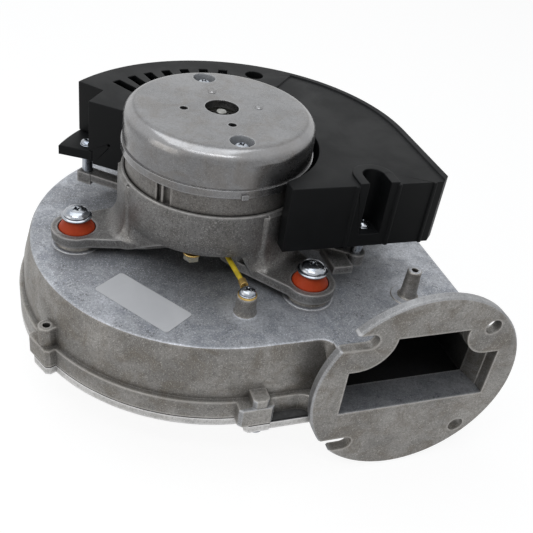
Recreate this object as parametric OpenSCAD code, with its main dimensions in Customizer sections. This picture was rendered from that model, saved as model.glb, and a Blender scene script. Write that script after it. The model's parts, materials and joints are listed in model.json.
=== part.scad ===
// Combustion blower of a boiler: cast volute with a round outlet flange, a motor on rubber
// mounts, a control box beside the motor, and a bladed wheel on the motor shaft.
// Millimetres, +Z up, motor axis on Z, origin at the centre of the inlet face, outlet to -Y.

/* [Volute housing] */
// Top of the volute plate above the inlet face
plate_z = 44; // [43:0.5:46]
// Outer radius of the drum on its circular side
drum_r = 88.6; // [87:0.1:90]
// Step between the centres of the quarter arcs of the scroll
scroll_step = 7.6; // [7:0.1:8]
// Thickness of the cast walls
wall_t = 3; // [2.6:0.1:3.4]
// Parting plane between the housing and its bottom cover
seam_z = 8; // [7.5:0.1:8.5]
// Width of the rim round the parting plane, from the edge of the plate
rim_w = 5.8; // [5:0.1:6.5]
// Height of the rim
rim_h = 9.5; // [8:0.5:11]

/* [Outlet flange] */
// Radius of the flange disc
flange_r = 51.7; // [50:0.1:54]
// Thickness of the flange disc
flange_t = 5; // [4:0.5:6]
// Front face of the flange, measured from the motor axis
flange_y = 105; // [103:0.5:107]
// Sideways place of the flange centre
flange_x = 73.3; // [72:0.1:74]
// Height of the flange centre
flange_z = 23; // [22:0.5:24]
// Half the sideways distance between the flange holes
hole_dx = 30.4; // [29:0.1:31]
// Half the height between the flange holes
hole_dz = 31.8; // [31:0.1:33]
// Radius of the flange holes and slots
hole_r = 4; // [3:0.25:4.5]

/* [Inlet] */
// Radius of the inlet bore
inlet_r = 28; // [26:0.5:29]
// Radius of the circle of inlet bolts
inlet_bolt_r = 40; // [39:0.5:41]
// Number of inlet bolts
inlet_bolts = 4; // [3:1:6]

/* [Wheel] */
// Radius of the bladed wheel
wheel_r = 65; // [60:0.5:66]
// Radius where the blades begin
blade_in_r = 37; // [35:0.5:39]
// Number of blades
blades = 20; // [12:1:24]
// Radius of the arc of each blade
blade_arc_r = 38; // [34:0.5:44]
// Thickness of a blade
blade_t = 1.2; // [0.8:0.1:1.6]

/* [Motor] */
// Top of the motor cap
cap_z = 113.2; // [112:0.2:115]
// Radius of the lip at the foot of the cap
lip_r = 45.6; // [45:0.1:46.2]
// Foot of the cap
lip_z = 91.8; // [91:0.1:92.5]
// Outer radius of the bracket cup
cup_r = 45.4; // [45:0.1:45.8]
// Rim of the bracket cup
cup_z = 81.6; // [81:0.1:83]
// Radius of the motor shaft
shaft_r = 4; // [3.5:0.1:4.5]
// Number of stator teeth
teeth = 6; // [6:1:9]
// Radius of the circle of rubber mounts
ear_r = 66.3; // [65:0.1:67]
// Top of the bracket ears
ear_z = 52.5; // [52:0.1:53]
// Thickness of the bracket ears
ear_t = 4.8; // [4.4:0.1:5]

/* [Control box] */
// Top of the control box
box_z = 99.2; // [98:0.2:101]
// Foot of the control box
box_foot_z = 65.3; // [65:0.1:66]
// Outer radius of the control box
box_r = 90.4; // [89:0.1:91]
// Radius of the bay that clears the motor
bay_r = 48; // [46:0.5:49]
// Front face of the control box, measured from the motor axis
box_front = 51; // [50:0.5:52]
// Wall of the control box
box_t = 2.2; // [1.8:0.1:2.4]
// Number of cooling slots
vents = 7; // [5:1:7]

/* [Hidden] */
$fn = 64;
eps = 0.5;

// Scroll: the drum is the first quarter, and each later quarter has a larger radius
right_x = drum_r + 3 * scroll_step;
rim_top_z = seam_z + rim_h;
crease_z = 30.5;
crease_out = 2.9;
flare = 3.4;
edge_round = 1.2;
roof_z = plate_z - wall_t;
low_roof_z = 28.5;
low_out = 0.4;
duct_x = 33;
duct_back_y = 88.5;
duct_floor_z = 12.1;
duct_flare = 3;
duct_flare_y = 85;
opening_top_z = 54.7;
flange_back = flange_y - flange_t;
hood_x0 = 54;
hood_x1 = 101;
hood_back_y = 86;
tap_xy = [82.5, -65.5];
tap_h = 15.5;
earth_xy = [0, -65];
earth_boss_h = 9.7;
lug_hole_r = 1.8;
lug_spots = [[-84.8, -41.3], [0.6, -95.8], [-70.2, 66], [31.7, 98.9], [115.7, 7.6], [116.6, -52]];
lug_turns = [26, 90, -40, -103, -172, 180];
lug_tops = [27.7, 22, 22, 22, 22, 22];
lug_out = 4.4;
lug_half = 6.4;
lug_long = 10;
lug_corner = 1.6;
lug_boss_r = 3.9;
lug_back = 9;
mount_turns = [180, -60, 60];
pad_h = 2.4;
seal_r = 12;

// Bottom cover
gasket_t = 0.5;
cover_top_z = seam_z - gasket_t;
cover_plate_t = 2.6;
cover_rim_z = 3.5;
cover_front_y = 99.5;
collar_r = 47;
bell_z = 12.4;
bell_t = 2;
inlet_bolt_hole_r = 1.65;
screw_head_h = 3.2;

// Wheel and shaft
back_z = 33.6;
back_t = 1.2;
shroud_z = 13;
shroud_t = 1.2;
hub_z = 20;
tail_r = 3;
tail_z = 22;
eye_r = 32;
hub_r = 9;
hub_flange_r = 18;
rivets = 6;
rivet_ring_r = 14.5;

// Bearings of the 8 x 22 x 7 size
race_r = 11;
race_w = 7;
ball_r = 1.9;
ball_ring_r = 7.5;
ball_gap = 0.05;
balls = 7;
upper_bearing_z = 101.5;
lower_bearing_z = 55.8;

// Motor
bell_wall = 3;
cap_round = 6.5;
cap_wall_r = lip_r - 0.7;
lip_h = 3.8;
shell_r = 43.4;
shell_in_r = 40;
shell_z0 = 74;
shell_z1 = 95.6;
cap_pit = 4.1;
core_z0 = 70;
core_z1 = 92;
core_in_r = 23;
rotor_core_r = 16;
magnet_r = 22.4;
yoke_r = 33;
tooth_w = 11;
tie_ring_r = 33.4;
tie_r = 2;
cup_floor_z = 59.3;
cup_floor_t = 3.6;
cup_in_r = 41;
cup_mouth_r = 44;
bracket_hub_z = 51.3;
gusset_r = 46.6;
gusset_half = 13;
mount_hole_r = 9;
mount_head_z = 58.4;
bracket_screw_ring_r = 41;
bracket_screw_turns = [-117, 3, 123];
terminal_t = 0.8;

// Control box
box_cx = 8.2;
box_right = box_cx + box_r;
box_end_x = 19.3;
box_chamfer = 4;
left_end = [[-40.3, 26.6], [-55.8, 38.2], [-46.8, 50.8], [-57.8, 62]];
shelf_tip = [-69.4, 45.4];
shelf_z = 72;
base_t = 3;
pocket_x = 61.7;
pocket_r = 5.4;
pocket_y = 43.4;
pocket_floor_z = 72;
// Cut-out of the cover round the shelf, and the shelf 0.3 mm inside it
shelf_cut = [[-80, 30], [-53, 37.2], [-44.4, 49], [-44.4, 54], [-60, 66], [-80, 70]];
shelf_edge = [[-80, 30.3], [-53.2, 37.5], [-44.7, 49.1], [-44.7, 53.8], [-60.1, 65.7], [-80, 69.7]];
well_xy = [38.9, 69.7];
well_r = 5;
left_fix_xy = [-55.5, 45.5];
fix_spots = [left_fix_xy, well_xy, [pocket_x, -pocket_y]];
fix_hole_r = 1.7;
standoff_z0 = 57;
board_z = 77;
board_t = 1.6;
panel_drop = 0.8;
panel_turn = 48.8;
vent_w = 5;
vent_r0 = 57;
vent_r1 = 90;
vent_rim_r = 78;
vent_turn0 = 121.7;
vent_step = 8.03;
plug_y0 = -46;
plug_y1 = -16;
plug_z0 = 71;
plug_z1 = 96;

// Earth lead: hand-picked points from the housing terminal to the bracket terminal
wire_d = 2.4;
wire_sides = 8;
wire_points = [[0, -58, 54.9], [-0.4, -54.5, 55.2], [-1, -50, 55.6], [-1.5, -46, 56],
  [-2, -42, 56.3], [-2.6, -38.2, 56.7], [-4.2, -34.7, 57], [-6.8, -32.4, 57.2],
  [-9.6, -31.8, 57.3], [-12.2, -32.9, 57.3]];
wire_turn = 30;

// Quarter of a plain round solid
module quarter(r, z0, z1, turn) {
  rotate([0, 0, turn])
    rotate_extrude(angle = 90)
      translate([0, z0])
        square([r, z1 - z0]);
}

// Plain-walled solid with the scroll's outline grown by d; right of front_x it reaches to front_y
module scroll_slab(d, z0, z1, front_x, front_y) {
  quarter(drum_r + d, z0, z1, 180);
  translate([scroll_step, 0, 0])
    quarter(drum_r + scroll_step + d, z0, z1, 90);
  translate([scroll_step, -scroll_step, 0])
    quarter(drum_r + 2 * scroll_step + d, z0, z1, 0);
  translate([0, -drum_r - d, z0])
    cube([duct_x + eps, drum_r + d + eps, z1 - z0]);
  translate([front_x, -front_y, z0])
    cube([right_x + d - front_x, front_y - scroll_step, z1 - z0]);
  translate([-eps, -scroll_step - eps, z0])
    cube([scroll_step + 2 * eps, scroll_step + 2 * eps, z1 - z0]);
}

// Section of the flared outer wall, from the axis out to radius r
module wall_section(r) {
  polygon([
    [0, seam_z],
    [r + rim_w, seam_z],
    [r + rim_w, rim_top_z],
    [r + flare, rim_top_z],
    [r + crease_out, crease_z],
    [r, plate_z - edge_round],
    [r - 0.35 * edge_round, plate_z - 0.35 * edge_round],
    [r - edge_round, plate_z],
    [0, plate_z]
  ]);
}

// Filled body of the drum and scroll
module scroll_body() {
  rotate([0, 0, 180])
    rotate_extrude(angle = 90)
      wall_section(drum_r);
  translate([scroll_step, 0, 0])
    rotate([0, 0, 90])
      rotate_extrude(angle = 90)
        wall_section(drum_r + scroll_step);
  translate([scroll_step, -scroll_step, 0])
    rotate_extrude(angle = 90)
      wall_section(drum_r + 2 * scroll_step);
  translate([0, -scroll_step, 0])
    rotate([90, 0, 0])
      linear_extrude(duct_back_y - 4 - scroll_step)
        wall_section(right_x);
  translate([0, -duct_back_y + 6, 0])
    rotate([90, 0, 0])
      linear_extrude(flange_back + eps - duct_back_y + 6)
        intersection() {
          wall_section(right_x);
          translate([duct_x, 0])
            square([right_x, plate_z + 1]);
        }
  translate([duct_x + 2, 0, 0])
    rotate([90, 0, -90])
      linear_extrude(duct_x + 2)
        wall_section(drum_r);
  translate([-eps, -scroll_step - eps, seam_z])
    cube([scroll_step + 2 * eps, scroll_step + 2 * eps, plate_z - seam_z]);
}

// Sloped hood behind the upper part of the flange
module hood(d) {
  translate([hood_x0 + d, 0, 0])
    rotate([90, 0, 90])
      linear_extrude(hood_x1 - hood_x0 - 2 * d)
        polygon([
          [-hood_back_y, roof_z - d],
          [-hood_back_y, plate_z - d],
          [-flange_back, opening_top_z + wall_t + 0.4 - d],
          [-flange_back - eps, opening_top_z + wall_t + 0.4 - d],
          [-flange_back - eps, roof_z - d]
        ]);
}

// Disc along -Y with softened edges
module flange_disc() {
  soft = 0.8;
  translate([flange_x, -flange_back, flange_z])
    rotate([90, 0, 0])
      rotate_extrude()
        polygon([
          [0, 0],
          [flange_r - soft, 0],
          [flange_r, soft],
          [flange_r, flange_t - soft],
          [flange_r - soft, flange_t],
          [0, flange_t]
        ]);
}

// Hole along Y through the flange, at dx and dz from its centre
module flange_hole(dx, dz, r) {
  translate([flange_x + dx, -flange_back + 1, flange_z + dz])
    rotate([90, 0, 0])
      cylinder(r = r, h = flange_t + 2);
}

// Outlet opening, with the corners taken by the bosses of the upper holes
module outlet_opening() {
  left_boss = [-34.2, 31.8, 17];
  right_boss = [30.9, 29, 12.6];
  right_in = right_x + duct_flare - wall_t;
  difference() {
    translate([duct_x + wall_t, -flange_y - 1, duct_floor_z])
      cube([right_in - duct_x - wall_t, flange_t + 2, opening_top_z - duct_floor_z]);
    flange_hole(left_boss[0], left_boss[1], left_boss[2]);
    flange_hole(right_boss[0], right_boss[1], right_boss[2]);
    translate([duct_x, -flange_y - 2, flange_z + left_boss[1] - left_boss[2]])
      cube([flange_x + left_boss[0] - duct_x, flange_t + 4, opening_top_z]);
    translate([flange_x + right_boss[0], -flange_y - 2, flange_z + right_boss[1] - right_boss[2]])
      cube([right_x, flange_t + 4, opening_top_z]);
  }
}

// Plan of the side wall that opens out towards the flange, set in by d
module duct_flare_plan(d) {
  polygon([
    [right_x - 6, -duct_flare_y],
    [right_x - d, -duct_flare_y],
    [right_x + duct_flare - d, -flange_back - eps],
    [right_x - 6, -flange_back - eps]
  ]);
}

// Rounded corner between the rim and the back of the flange
module rim_fillet() {
  fillet_r = 6;
  fillet_x = 20;
  translate([0, 0, seam_z])
    linear_extrude(rim_h)
      difference() {
        translate([fillet_x, -flange_back - eps])
          square([duct_x + 2 - fillet_x, flange_back + eps - drum_r]);
        translate([fillet_x, -flange_back - eps - 0.1])
          circle(fillet_r);
      }
}

// Rounded corner between the drum's wall and the outlet, with the plate's soft edge
module corner_fillet() {
  fillet_r = 5.6;
  translate([duct_x - fillet_r, -drum_r - fillet_r, 0])
    difference() {
      translate([0, 0, rim_top_z - 1])
        cube([fillet_r + 2, fillet_r + 2, plate_z - rim_top_z + 1]);
      rotate_extrude()
        polygon([
          [0, rim_top_z - 2],
          [fillet_r, rim_top_z - 2],
          [fillet_r, plate_z - edge_round],
          [fillet_r + 0.35 * edge_round, plate_z - 0.35 * edge_round],
          [fillet_r + edge_round, plate_z],
          [fillet_r + edge_round, plate_z + 1],
          [0, plate_z + 1]
        ]);
    }
}

module volute_housing() {
  color("lightslategray")
    union() {
      difference() {
        union() {
          scroll_body();
          translate([duct_x, -flange_back - eps, seam_z])
            cube([right_x - duct_x, flange_back + eps - duct_back_y + 6, plate_z - seam_z]);
          translate([0, 0, seam_z])
            linear_extrude(plate_z - seam_z)
              duct_flare_plan(0);
          rim_fillet();
          corner_fillet();
          hood(0);
          flange_disc();
          plate_bosses();
          housing_lugs();
        }
        scroll_slab(-wall_t, seam_z - 1, roof_z, duct_x, duct_back_y);
        scroll_slab(low_out, seam_z - 1, low_roof_z, duct_x, duct_back_y);
        translate([duct_x + wall_t, -flange_back - eps, duct_floor_z])
          cube([right_x - duct_x - 2 * wall_t, flange_back + eps - duct_back_y + 1, roof_z - duct_floor_z]);
        translate([0, 0, duct_floor_z])
          linear_extrude(roof_z - duct_floor_z)
            duct_flare_plan(wall_t);
        hood(wall_t);
        outlet_opening();
        for (dz = [-hole_dz, hole_dz]) {
          flange_hole(hole_dx, dz, hole_r);
          flange_hole(-hole_dx, dz, hole_r);
          translate([0, -flange_y - 1, flange_z + dz - hole_r])
            cube([flange_x - hole_dx, flange_t + 2, 2 * hole_r]);
        }
        translate([0, 0, roof_z - 1])
          cylinder(r = seal_r, h = wall_t + 2);
        for (turn = mount_turns)
          rotate([0, 0, turn])
            translate([ear_r, 0, 37.4])
              cylinder(r = 2.5, h = 20);
        translate([earth_xy[0], earth_xy[1], plate_z - 2])
          cylinder(r = 2, h = earth_boss_h + 3);
        translate([tap_xy[0], tap_xy[1], roof_z - 1])
          cylinder(r = 1.7, h = tap_h + 5);
        for (i = [0 : len(lug_spots) - 1])
          translate([lug_spots[i][0], lug_spots[i][1], seam_z - 1])
            cylinder(r = lug_hole_r, h = i == 0 ? lug_tops[0] : lug_tops[i] - seam_z - 1.5);
      }
      cutoff_tongue();
      for (turn = mount_turns)
        rotate([0, 0, turn])
          translate([ear_r, 0, 36.8])
            difference() {
              cylinder(r = 5, h = roof_z - 36.8 + eps);
              translate([0, 0, 0.6])
                cylinder(r = 2.5, h = 10);
            }
    }
}

// Wall inside the scroll that parts the outlet from the start of the drum
module cutoff_tongue() {
  tongue_y = 64;
  nose_r = 2;
  translate([duct_x - 0.5, -duct_back_y - 1, seam_z])
    cube([2 * nose_r, duct_back_y + 1 - tongue_y, roof_z - seam_z + eps]);
  translate([duct_x - 0.5 + nose_r, -tongue_y, seam_z])
    cylinder(r = nose_r, h = roof_z - seam_z + eps);
}

// Pads under the rubber mounts, boss of the earth screw, and pressure tap
module plate_bosses() {
  for (turn = mount_turns)
    rotate([0, 0, turn])
      translate([ear_r, 0, plate_z - 1])
        rotate_extrude()
          polygon([
            [0, 0],
            [12, 0],
            [12, 1.2],
            [11.5, 1.5],
            [10.4, 1.7],
            [9.8, 2.3],
            [9.6, 0.7 + pad_h],
            [9.3, 1 + pad_h],
            [0, 1 + pad_h]
          ]);
  translate([earth_xy[0], earth_xy[1], plate_z - 1])
    rotate_extrude()
      polygon([
        [0, 0],
        [7, 0],
        [7, 1],
        [5.4, 1.5],
        [4.8, 2.6],
        [4.5, 1 + earth_boss_h],
        [0, 1 + earth_boss_h]
      ]);
  translate([tap_xy[0], tap_xy[1], plate_z - 1])
    rotate_extrude()
      polygon([
        [0, 0],
        [8.5, 0],
        [8.5, 1.2],
        [8.1, 1.5],
        [5.2, 1.6],
        [4.4, 2.1],
        [4, 3.2],
        [3.4, 0.6 + tap_h],
        [3, 1 + tap_h],
        [0, 1 + tap_h]
      ]);
}

// Screw lugs round the rim, each backed into the wall
module housing_lugs() {
  for (i = [0 : len(lug_spots) - 1])
    translate([lug_spots[i][0], lug_spots[i][1], seam_z])
      rotate([0, 0, lug_turns[i]]) {
        linear_extrude(rim_h)
          lug_plan(lug_back, lug_out, lug_half, lug_long);
        linear_extrude(lug_tops[i] - seam_z)
          if (i == 0) {
            circle(lug_boss_r);
            translate([0, -lug_boss_r])
              square([lug_back, 2 * lug_boss_r]);
          } else {
            lug_plan(lug_back, lug_boss_r, lug_boss_r, lug_boss_r);
          }
      }
}

// Plan of a lug that points along -X, with its outer corners cut
module lug_plan(back, out, half_a, half_b) {
  polygon([
    [back, -half_a],
    [lug_corner - out, -half_a],
    [-out, lug_corner - half_a],
    [-out, half_b - lug_corner],
    [lug_corner - out, half_b],
    [back, half_b]
  ]);
}

module bottom_cover() {
  rim_in = 6;
  color("silver")
    difference() {
      union() {
        difference() {
          scroll_slab(rim_w, cover_rim_z, cover_top_z, eps, cover_front_y);
          scroll_slab(-rim_in, cover_rim_z - 1, cover_top_z - cover_plate_t, duct_x, duct_back_y);
        }
        cylinder(r = collar_r, h = cover_top_z);
        cylinder(r = inlet_r + bell_t, h = bell_z);
        for (i = [0 : len(lug_spots) - 1])
          translate([lug_spots[i][0], lug_spots[i][1], cover_rim_z])
            rotate([0, 0, lug_turns[i]])
              linear_extrude(cover_top_z - cover_rim_z)
                lug_plan(lug_back, lug_out, lug_half, lug_half);
      }
      translate([0, 0, -1])
        cylinder(r = inlet_r, h = bell_z + 2);
      for (i = [1 : inlet_bolts])
        rotate([0, 0, 45 + i * 360 / inlet_bolts])
          translate([inlet_bolt_r, 0, -1])
            cylinder(r = inlet_bolt_hole_r, h = 7);
      for (spot = lug_spots)
        translate([spot[0], spot[1], 0])
          cylinder(r = 2.2, h = seam_z);
    }
}

module housing_gasket() {
  color("dimgray")
    difference() {
      union() {
        scroll_slab(rim_w - 0.6, cover_top_z, seam_z, eps, cover_front_y - 0.8);
        for (spot = lug_spots)
          translate([spot[0], spot[1], cover_top_z])
            cylinder(r = lug_boss_r, h = gasket_t);
      }
      scroll_slab(low_out, cover_top_z - 1, seam_z + 1, duct_x, duct_back_y);
      for (spot = lug_spots)
        translate([spot[0], spot[1], cover_top_z - 1])
          cylinder(r = 2.2, h = 3);
    }
}

// Screw along -Z seen from its head: dished head above z = 0, shank below
module pan_screw(head_r, head_h, shank_r, shank_l) {
  rotate_extrude()
    polygon([
      [0, -shank_l],
      [shank_r - 0.5, -shank_l],
      [shank_r, -shank_l + 0.8],
      [shank_r, 0],
      [head_r, 0],
      [head_r, 0.35 * head_h],
      [0.92 * head_r, 0.65 * head_h],
      [0.7 * head_r, 0.9 * head_h],
      [0.4 * head_r, head_h],
      [0, head_h]
    ]);
}

module housing_screws() {
  color("gainsboro")
    for (spot = lug_spots)
      translate([spot[0], spot[1], cover_rim_z])
        rotate([180, 0, 0])
          pan_screw(4, screw_head_h, lug_hole_r, 14);
}

module shaft_seal() {
  color("tan")
    translate([0, 0, roof_z])
      difference() {
        cylinder(r = seal_r, h = wall_t);
        translate([0, 0, -1])
          cylinder(r = shaft_r + 0.05, h = wall_t + 2);
      }
}

// Flat arm along +X with a round ear at its end
module ear_arm() {
  ear_od_r = 12;
  half_in = 16.5;
  translate([0, 0, ear_z - ear_t]) {
    translate([ear_r, 0, 0])
      cylinder(r = ear_od_r, h = ear_t);
    linear_extrude(ear_t)
      polygon([
        [24, -half_in],
        [36, -half_in],
        [ear_r - 3, -ear_od_r + 0.4],
        [ear_r - 3, ear_od_r - 0.4],
        [36, half_in],
        [24, half_in]
      ]);
    translate([0, 0, ear_t - eps])
      linear_extrude(cup_floor_z + 1 - ear_z + eps)
        polygon([[24, -half_in], [34, -half_in], [42, -9], [42, 9], [34, half_in], [24, half_in]]);
    translate([46, -6, -2.8])
      cube([5, 12, 3.3]);
  }
}

module motor_bracket() {
  foot_round = 3;
  hub_out_r = race_r + 3.5;
  color("darkgray")
    difference() {
      union() {
        rotate_extrude()
          polygon([
            [race_r - 2, bracket_hub_z],
            [hub_out_r, bracket_hub_z],
            [hub_out_r, cup_floor_z],
            [cup_r + 0.4 - foot_round, cup_floor_z],
            [cup_r + 0.4 - 0.3 * foot_round, cup_floor_z + 0.3 * foot_round],
            [cup_r + 0.4, cup_floor_z + foot_round],
            [cup_r, cup_z - 0.6],
            [cup_r - 0.4, cup_z],
            [cup_mouth_r, cup_z],
            [cup_mouth_r, cup_z - 3],
            [shell_r + 0.05, cup_z - 3],
            [shell_r + 0.05, shell_z0],
            [cup_in_r, shell_z0],
            [cup_in_r, cup_floor_z + cup_floor_t],
            [hub_out_r, cup_floor_z + cup_floor_t],
            [hub_out_r, cup_floor_z + cup_floor_t + 1],
            [race_r - 2, cup_floor_z + cup_floor_t + 1]
          ]);
        for (turn = mount_turns)
          rotate([0, 0, turn]) {
            difference() {
              ear_arm();
              translate([0, 0, cup_floor_z - 20])
                cylinder(r = 23.9, h = 20);
            }
            gusset();
          }
        fixing_arms();
      }
      translate([0, 0, lower_bearing_z])
        cylinder(r = race_r, h = race_w + 4);
      translate([0, 0, cup_floor_z - 10])
        cylinder(r = 8, h = 20);
      for (turn = mount_turns)
        rotate([0, 0, turn])
          translate([ear_r, 0, ear_z - ear_t - 1])
            cylinder(r = mount_hole_r, h = ear_t + 2);
      for (turn = bracket_screw_turns)
        rotate([0, 0, turn])
          translate([bracket_screw_ring_r, 0, cup_floor_z - 1])
            cylinder(r = 2, h = cup_floor_t + 2);
      for (turn = [90, 270])
        rotate([0, 0, turn])
          translate([tie_ring_r, 0, cup_floor_z - 1])
            cylinder(r = tie_r, h = cup_floor_t + 2);
      for (spot = fix_spots)
        translate([spot[0], spot[1], standoff_z0 - 8])
          cylinder(r = 1.6, h = 10);
    }
}

// Thickened wall over each ear arm, from the ear up to the rim of the cup
module gusset() {
  rotate([0, 0, -gusset_half])
    rotate_extrude(angle = 2 * gusset_half)
      polygon([
        [cup_in_r + 1, ear_z - 1],
        [gusset_r, ear_z - 1],
        [gusset_r, cup_z - 1.6],
        [cup_r - 0.2, cup_z - 0.4],
        [cup_mouth_r + 0.4, cup_z - 0.4],
        [cup_mouth_r + 0.4, cup_floor_z + 1],
        [cup_in_r + 1, cup_floor_z + 1]
      ]);
}

// Arms under the cup that carry the three fixings of the control box
module fixing_arms() {
  arm_w = 7;
  arm_t = 4;
  arm_z = standoff_z0 - arm_t;
  lug_h = 6;
  lug_end_r = 4.6;
  block_w = 7.6;
  // Start, end and riser length of each arm; the second passes beside a rubber mount
  arms = [
    [26 * unit(left_fix_xy), left_fix_xy, 16],
    [[-18, 38.4], [34, 74], 12],
    [26 * unit(fix_spots[2]), fix_spots[2], 16]
  ];
  for (arm = arms) {
    way = arm[1] - arm[0];
    translate([arm[0][0], arm[0][1], arm_z])
      rotate([0, 0, atan2(way[1], way[0])])
        translate([0, -arm_w / 2, 0]) {
          cube([norm(way), arm_w, arm_t]);
          cube([arm[2], arm_w, cup_floor_z + 1 - arm_z]);
        }
  }
  translate([left_fix_xy[0], left_fix_xy[1], standoff_z0 - lug_h])
    rotate([0, 0, atan2(left_fix_xy[1], left_fix_xy[0])])
      translate([-block_w / 2, -block_w / 2, 0])
        cube([block_w, block_w, lug_h]);
  for (i = [1, 2])
    translate([fix_spots[i][0], fix_spots[i][1], standoff_z0 - lug_h])
      cylinder(r = lug_end_r, h = lug_h);
  translate([46, -54, arm_z - 1])
    cube([10, 18, arm_t]);
}

module rubber_mounts() {
  foot_z = plate_z + pad_h;
  foot_r = 9.1;
  top_z = mount_head_z - 0.4;
  color("orangered")
    for (turn = mount_turns)
      rotate([0, 0, turn])
        translate([ear_r, 0, 0])
          rotate_extrude()
            polygon([
              [3.5, foot_z],
              [foot_r, foot_z],
              [foot_r, ear_z - ear_t],
              [mount_hole_r - 0.35, ear_z - ear_t],
              [mount_hole_r - 0.35, ear_z - 0.4],
              [8.2, ear_z + 0.4],
              [5.2, top_z],
              [3.5, top_z]
            ]);
}

module mount_sleeves() {
  color("silver")
    for (turn = mount_turns)
      rotate([0, 0, turn])
        translate([ear_r, 0, plate_z + pad_h])
          difference() {
            cylinder(r = 3.5, h = mount_head_z - plate_z - pad_h);
            translate([0, 0, -1])
              cylinder(r = 2.6, h = 20);
          }
}

module mount_screws() {
  color("gainsboro")
    for (turn = mount_turns)
      rotate([0, 0, turn])
        translate([ear_r, 0, mount_head_z])
          rotate_extrude()
            polygon([
              [0, 37.6 - mount_head_z],
              [2.5, 37.6 - mount_head_z],
              [2.5, 0],
              [7.2, 0],
              [7.2, 1],
              [6.5, 1.4],
              [5.9, 2.2],
              [4.6, 3.2],
              [2.6, 3.8],
              [0, 4]
            ]);
}

module bracket_screws() {
  head_h = 3.2;
  color("goldenrod")
    for (turn = bracket_screw_turns)
      rotate([0, 0, turn])
        translate([bracket_screw_ring_r, 0, cup_floor_z - (turn == bracket_screw_turns[0] ? terminal_t : 0)])
          rotate([180, 0, 0]) {
            cylinder(r = 4, h = head_h, $fn = 6);
            translate([0, 0, -4])
              cylinder(r = 2, h = 4 + eps);
          }
}

module motor_shell() {
  window_depth = 1.8;
  window_spans = [[-142.5, 3.2], [-137.7, 4.7]];
  color("darkgray")
    difference() {
      translate([0, 0, shell_z0])
        cylinder(r = shell_r, h = shell_z1 - shell_z0);
      translate([0, 0, shell_z0 - 1])
        cylinder(r = shell_in_r, h = shell_z1 - shell_z0 + 2);
      for (turn = [90, 270])
        rotate([0, 0, turn])
          translate([tie_ring_r, 0, shell_z0 - 1])
            cylinder(r = tie_r + 0.6, h = shell_z1 - shell_z0 + 2);
      for (turn = [0, 120, 240], span = window_spans)
        rotate([0, 0, turn + span[0]])
          rotate_extrude(angle = span[1])
            translate([shell_r - window_depth, cup_z - 1])
              square([4, lip_z - cup_z + 2]);
    }
}

module stator_core() {
  shoe = 46;
  color("slategray")
    difference() {
      translate([0, 0, core_z0])
        union() {
          difference() {
            cylinder(r = shell_in_r, h = core_z1 - core_z0);
            translate([0, 0, -1])
              cylinder(r = yoke_r, h = core_z1 - core_z0 + 2);
          }
          for (i = [1 : teeth])
            rotate([0, 0, i * 360 / teeth]) {
              translate([core_in_r + 0.4, -tooth_w / 2, 0])
                cube([yoke_r - core_in_r + 0.6, tooth_w, core_z1 - core_z0]);
              rotate([0, 0, -shoe / 2])
                rotate_extrude(angle = shoe)
                  translate([core_in_r, 0])
                    square([1.6, core_z1 - core_z0]);
            }
        }
      for (turn = [90, 270])
        rotate([0, 0, turn])
          translate([tie_ring_r, 0, core_z0 - 1])
            cylinder(r = tie_r + 0.6, h = core_z1 - core_z0 + 2);
    }
}

module stator_windings() {
  coil_r0 = core_in_r + 2;
  coil_r1 = yoke_r - 1.6;
  side = 4.6;
  head = 3.4;
  color("chocolate")
    for (i = [1 : teeth])
      rotate([0, 0, i * 360 / teeth])
        difference() {
          translate([coil_r0, -tooth_w / 2 - side, core_z0 - head])
            cube([coil_r1 - coil_r0, tooth_w + 2 * side, core_z1 - core_z0 + 2 * head]);
          translate([coil_r0 - 1, -tooth_w / 2, core_z0])
            cube([coil_r1 - coil_r0 + 2, tooth_w, core_z1 - core_z0]);
        }
}

module motor_cap() {
  in_r = cap_wall_r - bell_wall;
  top_in_z = cap_z - 3.6;
  boss_r = 6.8;
  bore_r = 7.9;
  gate_w = 3.2;
  pip_r = 1.9;
  color("silver")
    difference() {
      union() {
        rotate_extrude()
          union() {
            difference() {
              union() {
                translate([0, lip_z])
                  square([lip_r, lip_h]);
                translate([0, lip_z])
                  square([cap_wall_r, cap_z - cap_round - lip_z]);
                translate([0, lip_z])
                  square([cap_wall_r - cap_round, cap_z - lip_z]);
                translate([cap_wall_r - cap_round, cap_z - cap_round])
                  circle(cap_round);
              }
              translate([-50, lip_z - 20])
                square([50, 100]);
              translate([-1, lip_z - 1])
                square([shell_r + 1.05, shell_z1 - lip_z + 1]);
              translate([-1, lip_z - 1])
                square([in_r + 1 - 5, top_in_z - lip_z + 1]);
              translate([-1, lip_z - 1])
                square([in_r + 1, top_in_z - 5 - lip_z + 1]);
            }
            translate([race_r, upper_bearing_z])
              square([3.2, top_in_z - upper_bearing_z + eps]);
          }
        for (turn = [90, 270])
          rotate([0, 0, turn])
            translate([tie_ring_r, 0, shell_z1])
              intersection() {
                cylinder(r = boss_r, h = cap_z - shell_z1 - 3);
                translate([-tie_ring_r, 0, 0])
                  cylinder(r = cap_wall_r - 0.6, h = 30);
              }
        translate([-gate_w / 2, -lip_r - 0.9, lip_z - 0.4])
          cube([gate_w, 2, 2.4]);
        for (turn = [0, 90])
          rotate([0, 0, turn])
            translate([18, 0, cap_z - eps])
              cylinder(r1 = pip_r, r2 = 0.55 * pip_r, h = 0.7);
      }
      translate([0, 0, upper_bearing_z - 1])
        cylinder(r = bore_r, h = 30);
      for (turn = [90, 270])
        rotate([0, 0, turn])
          translate([tie_ring_r, 0, 0]) {
            translate([0, 0, cap_z - cap_pit])
              cylinder(r1 = 5.1, r2 = 5.1 + 0.4 * 10 / cap_pit, h = 10);
            translate([0, 0, lip_z])
              cylinder(r = tie_r + 0.2, h = 30);
          }
      for (turn = [180, 270])
        rotate([0, 0, turn])
          translate([18, 0, cap_z - 6])
            cylinder(r = 1.9, h = 10);
    }
}

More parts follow.
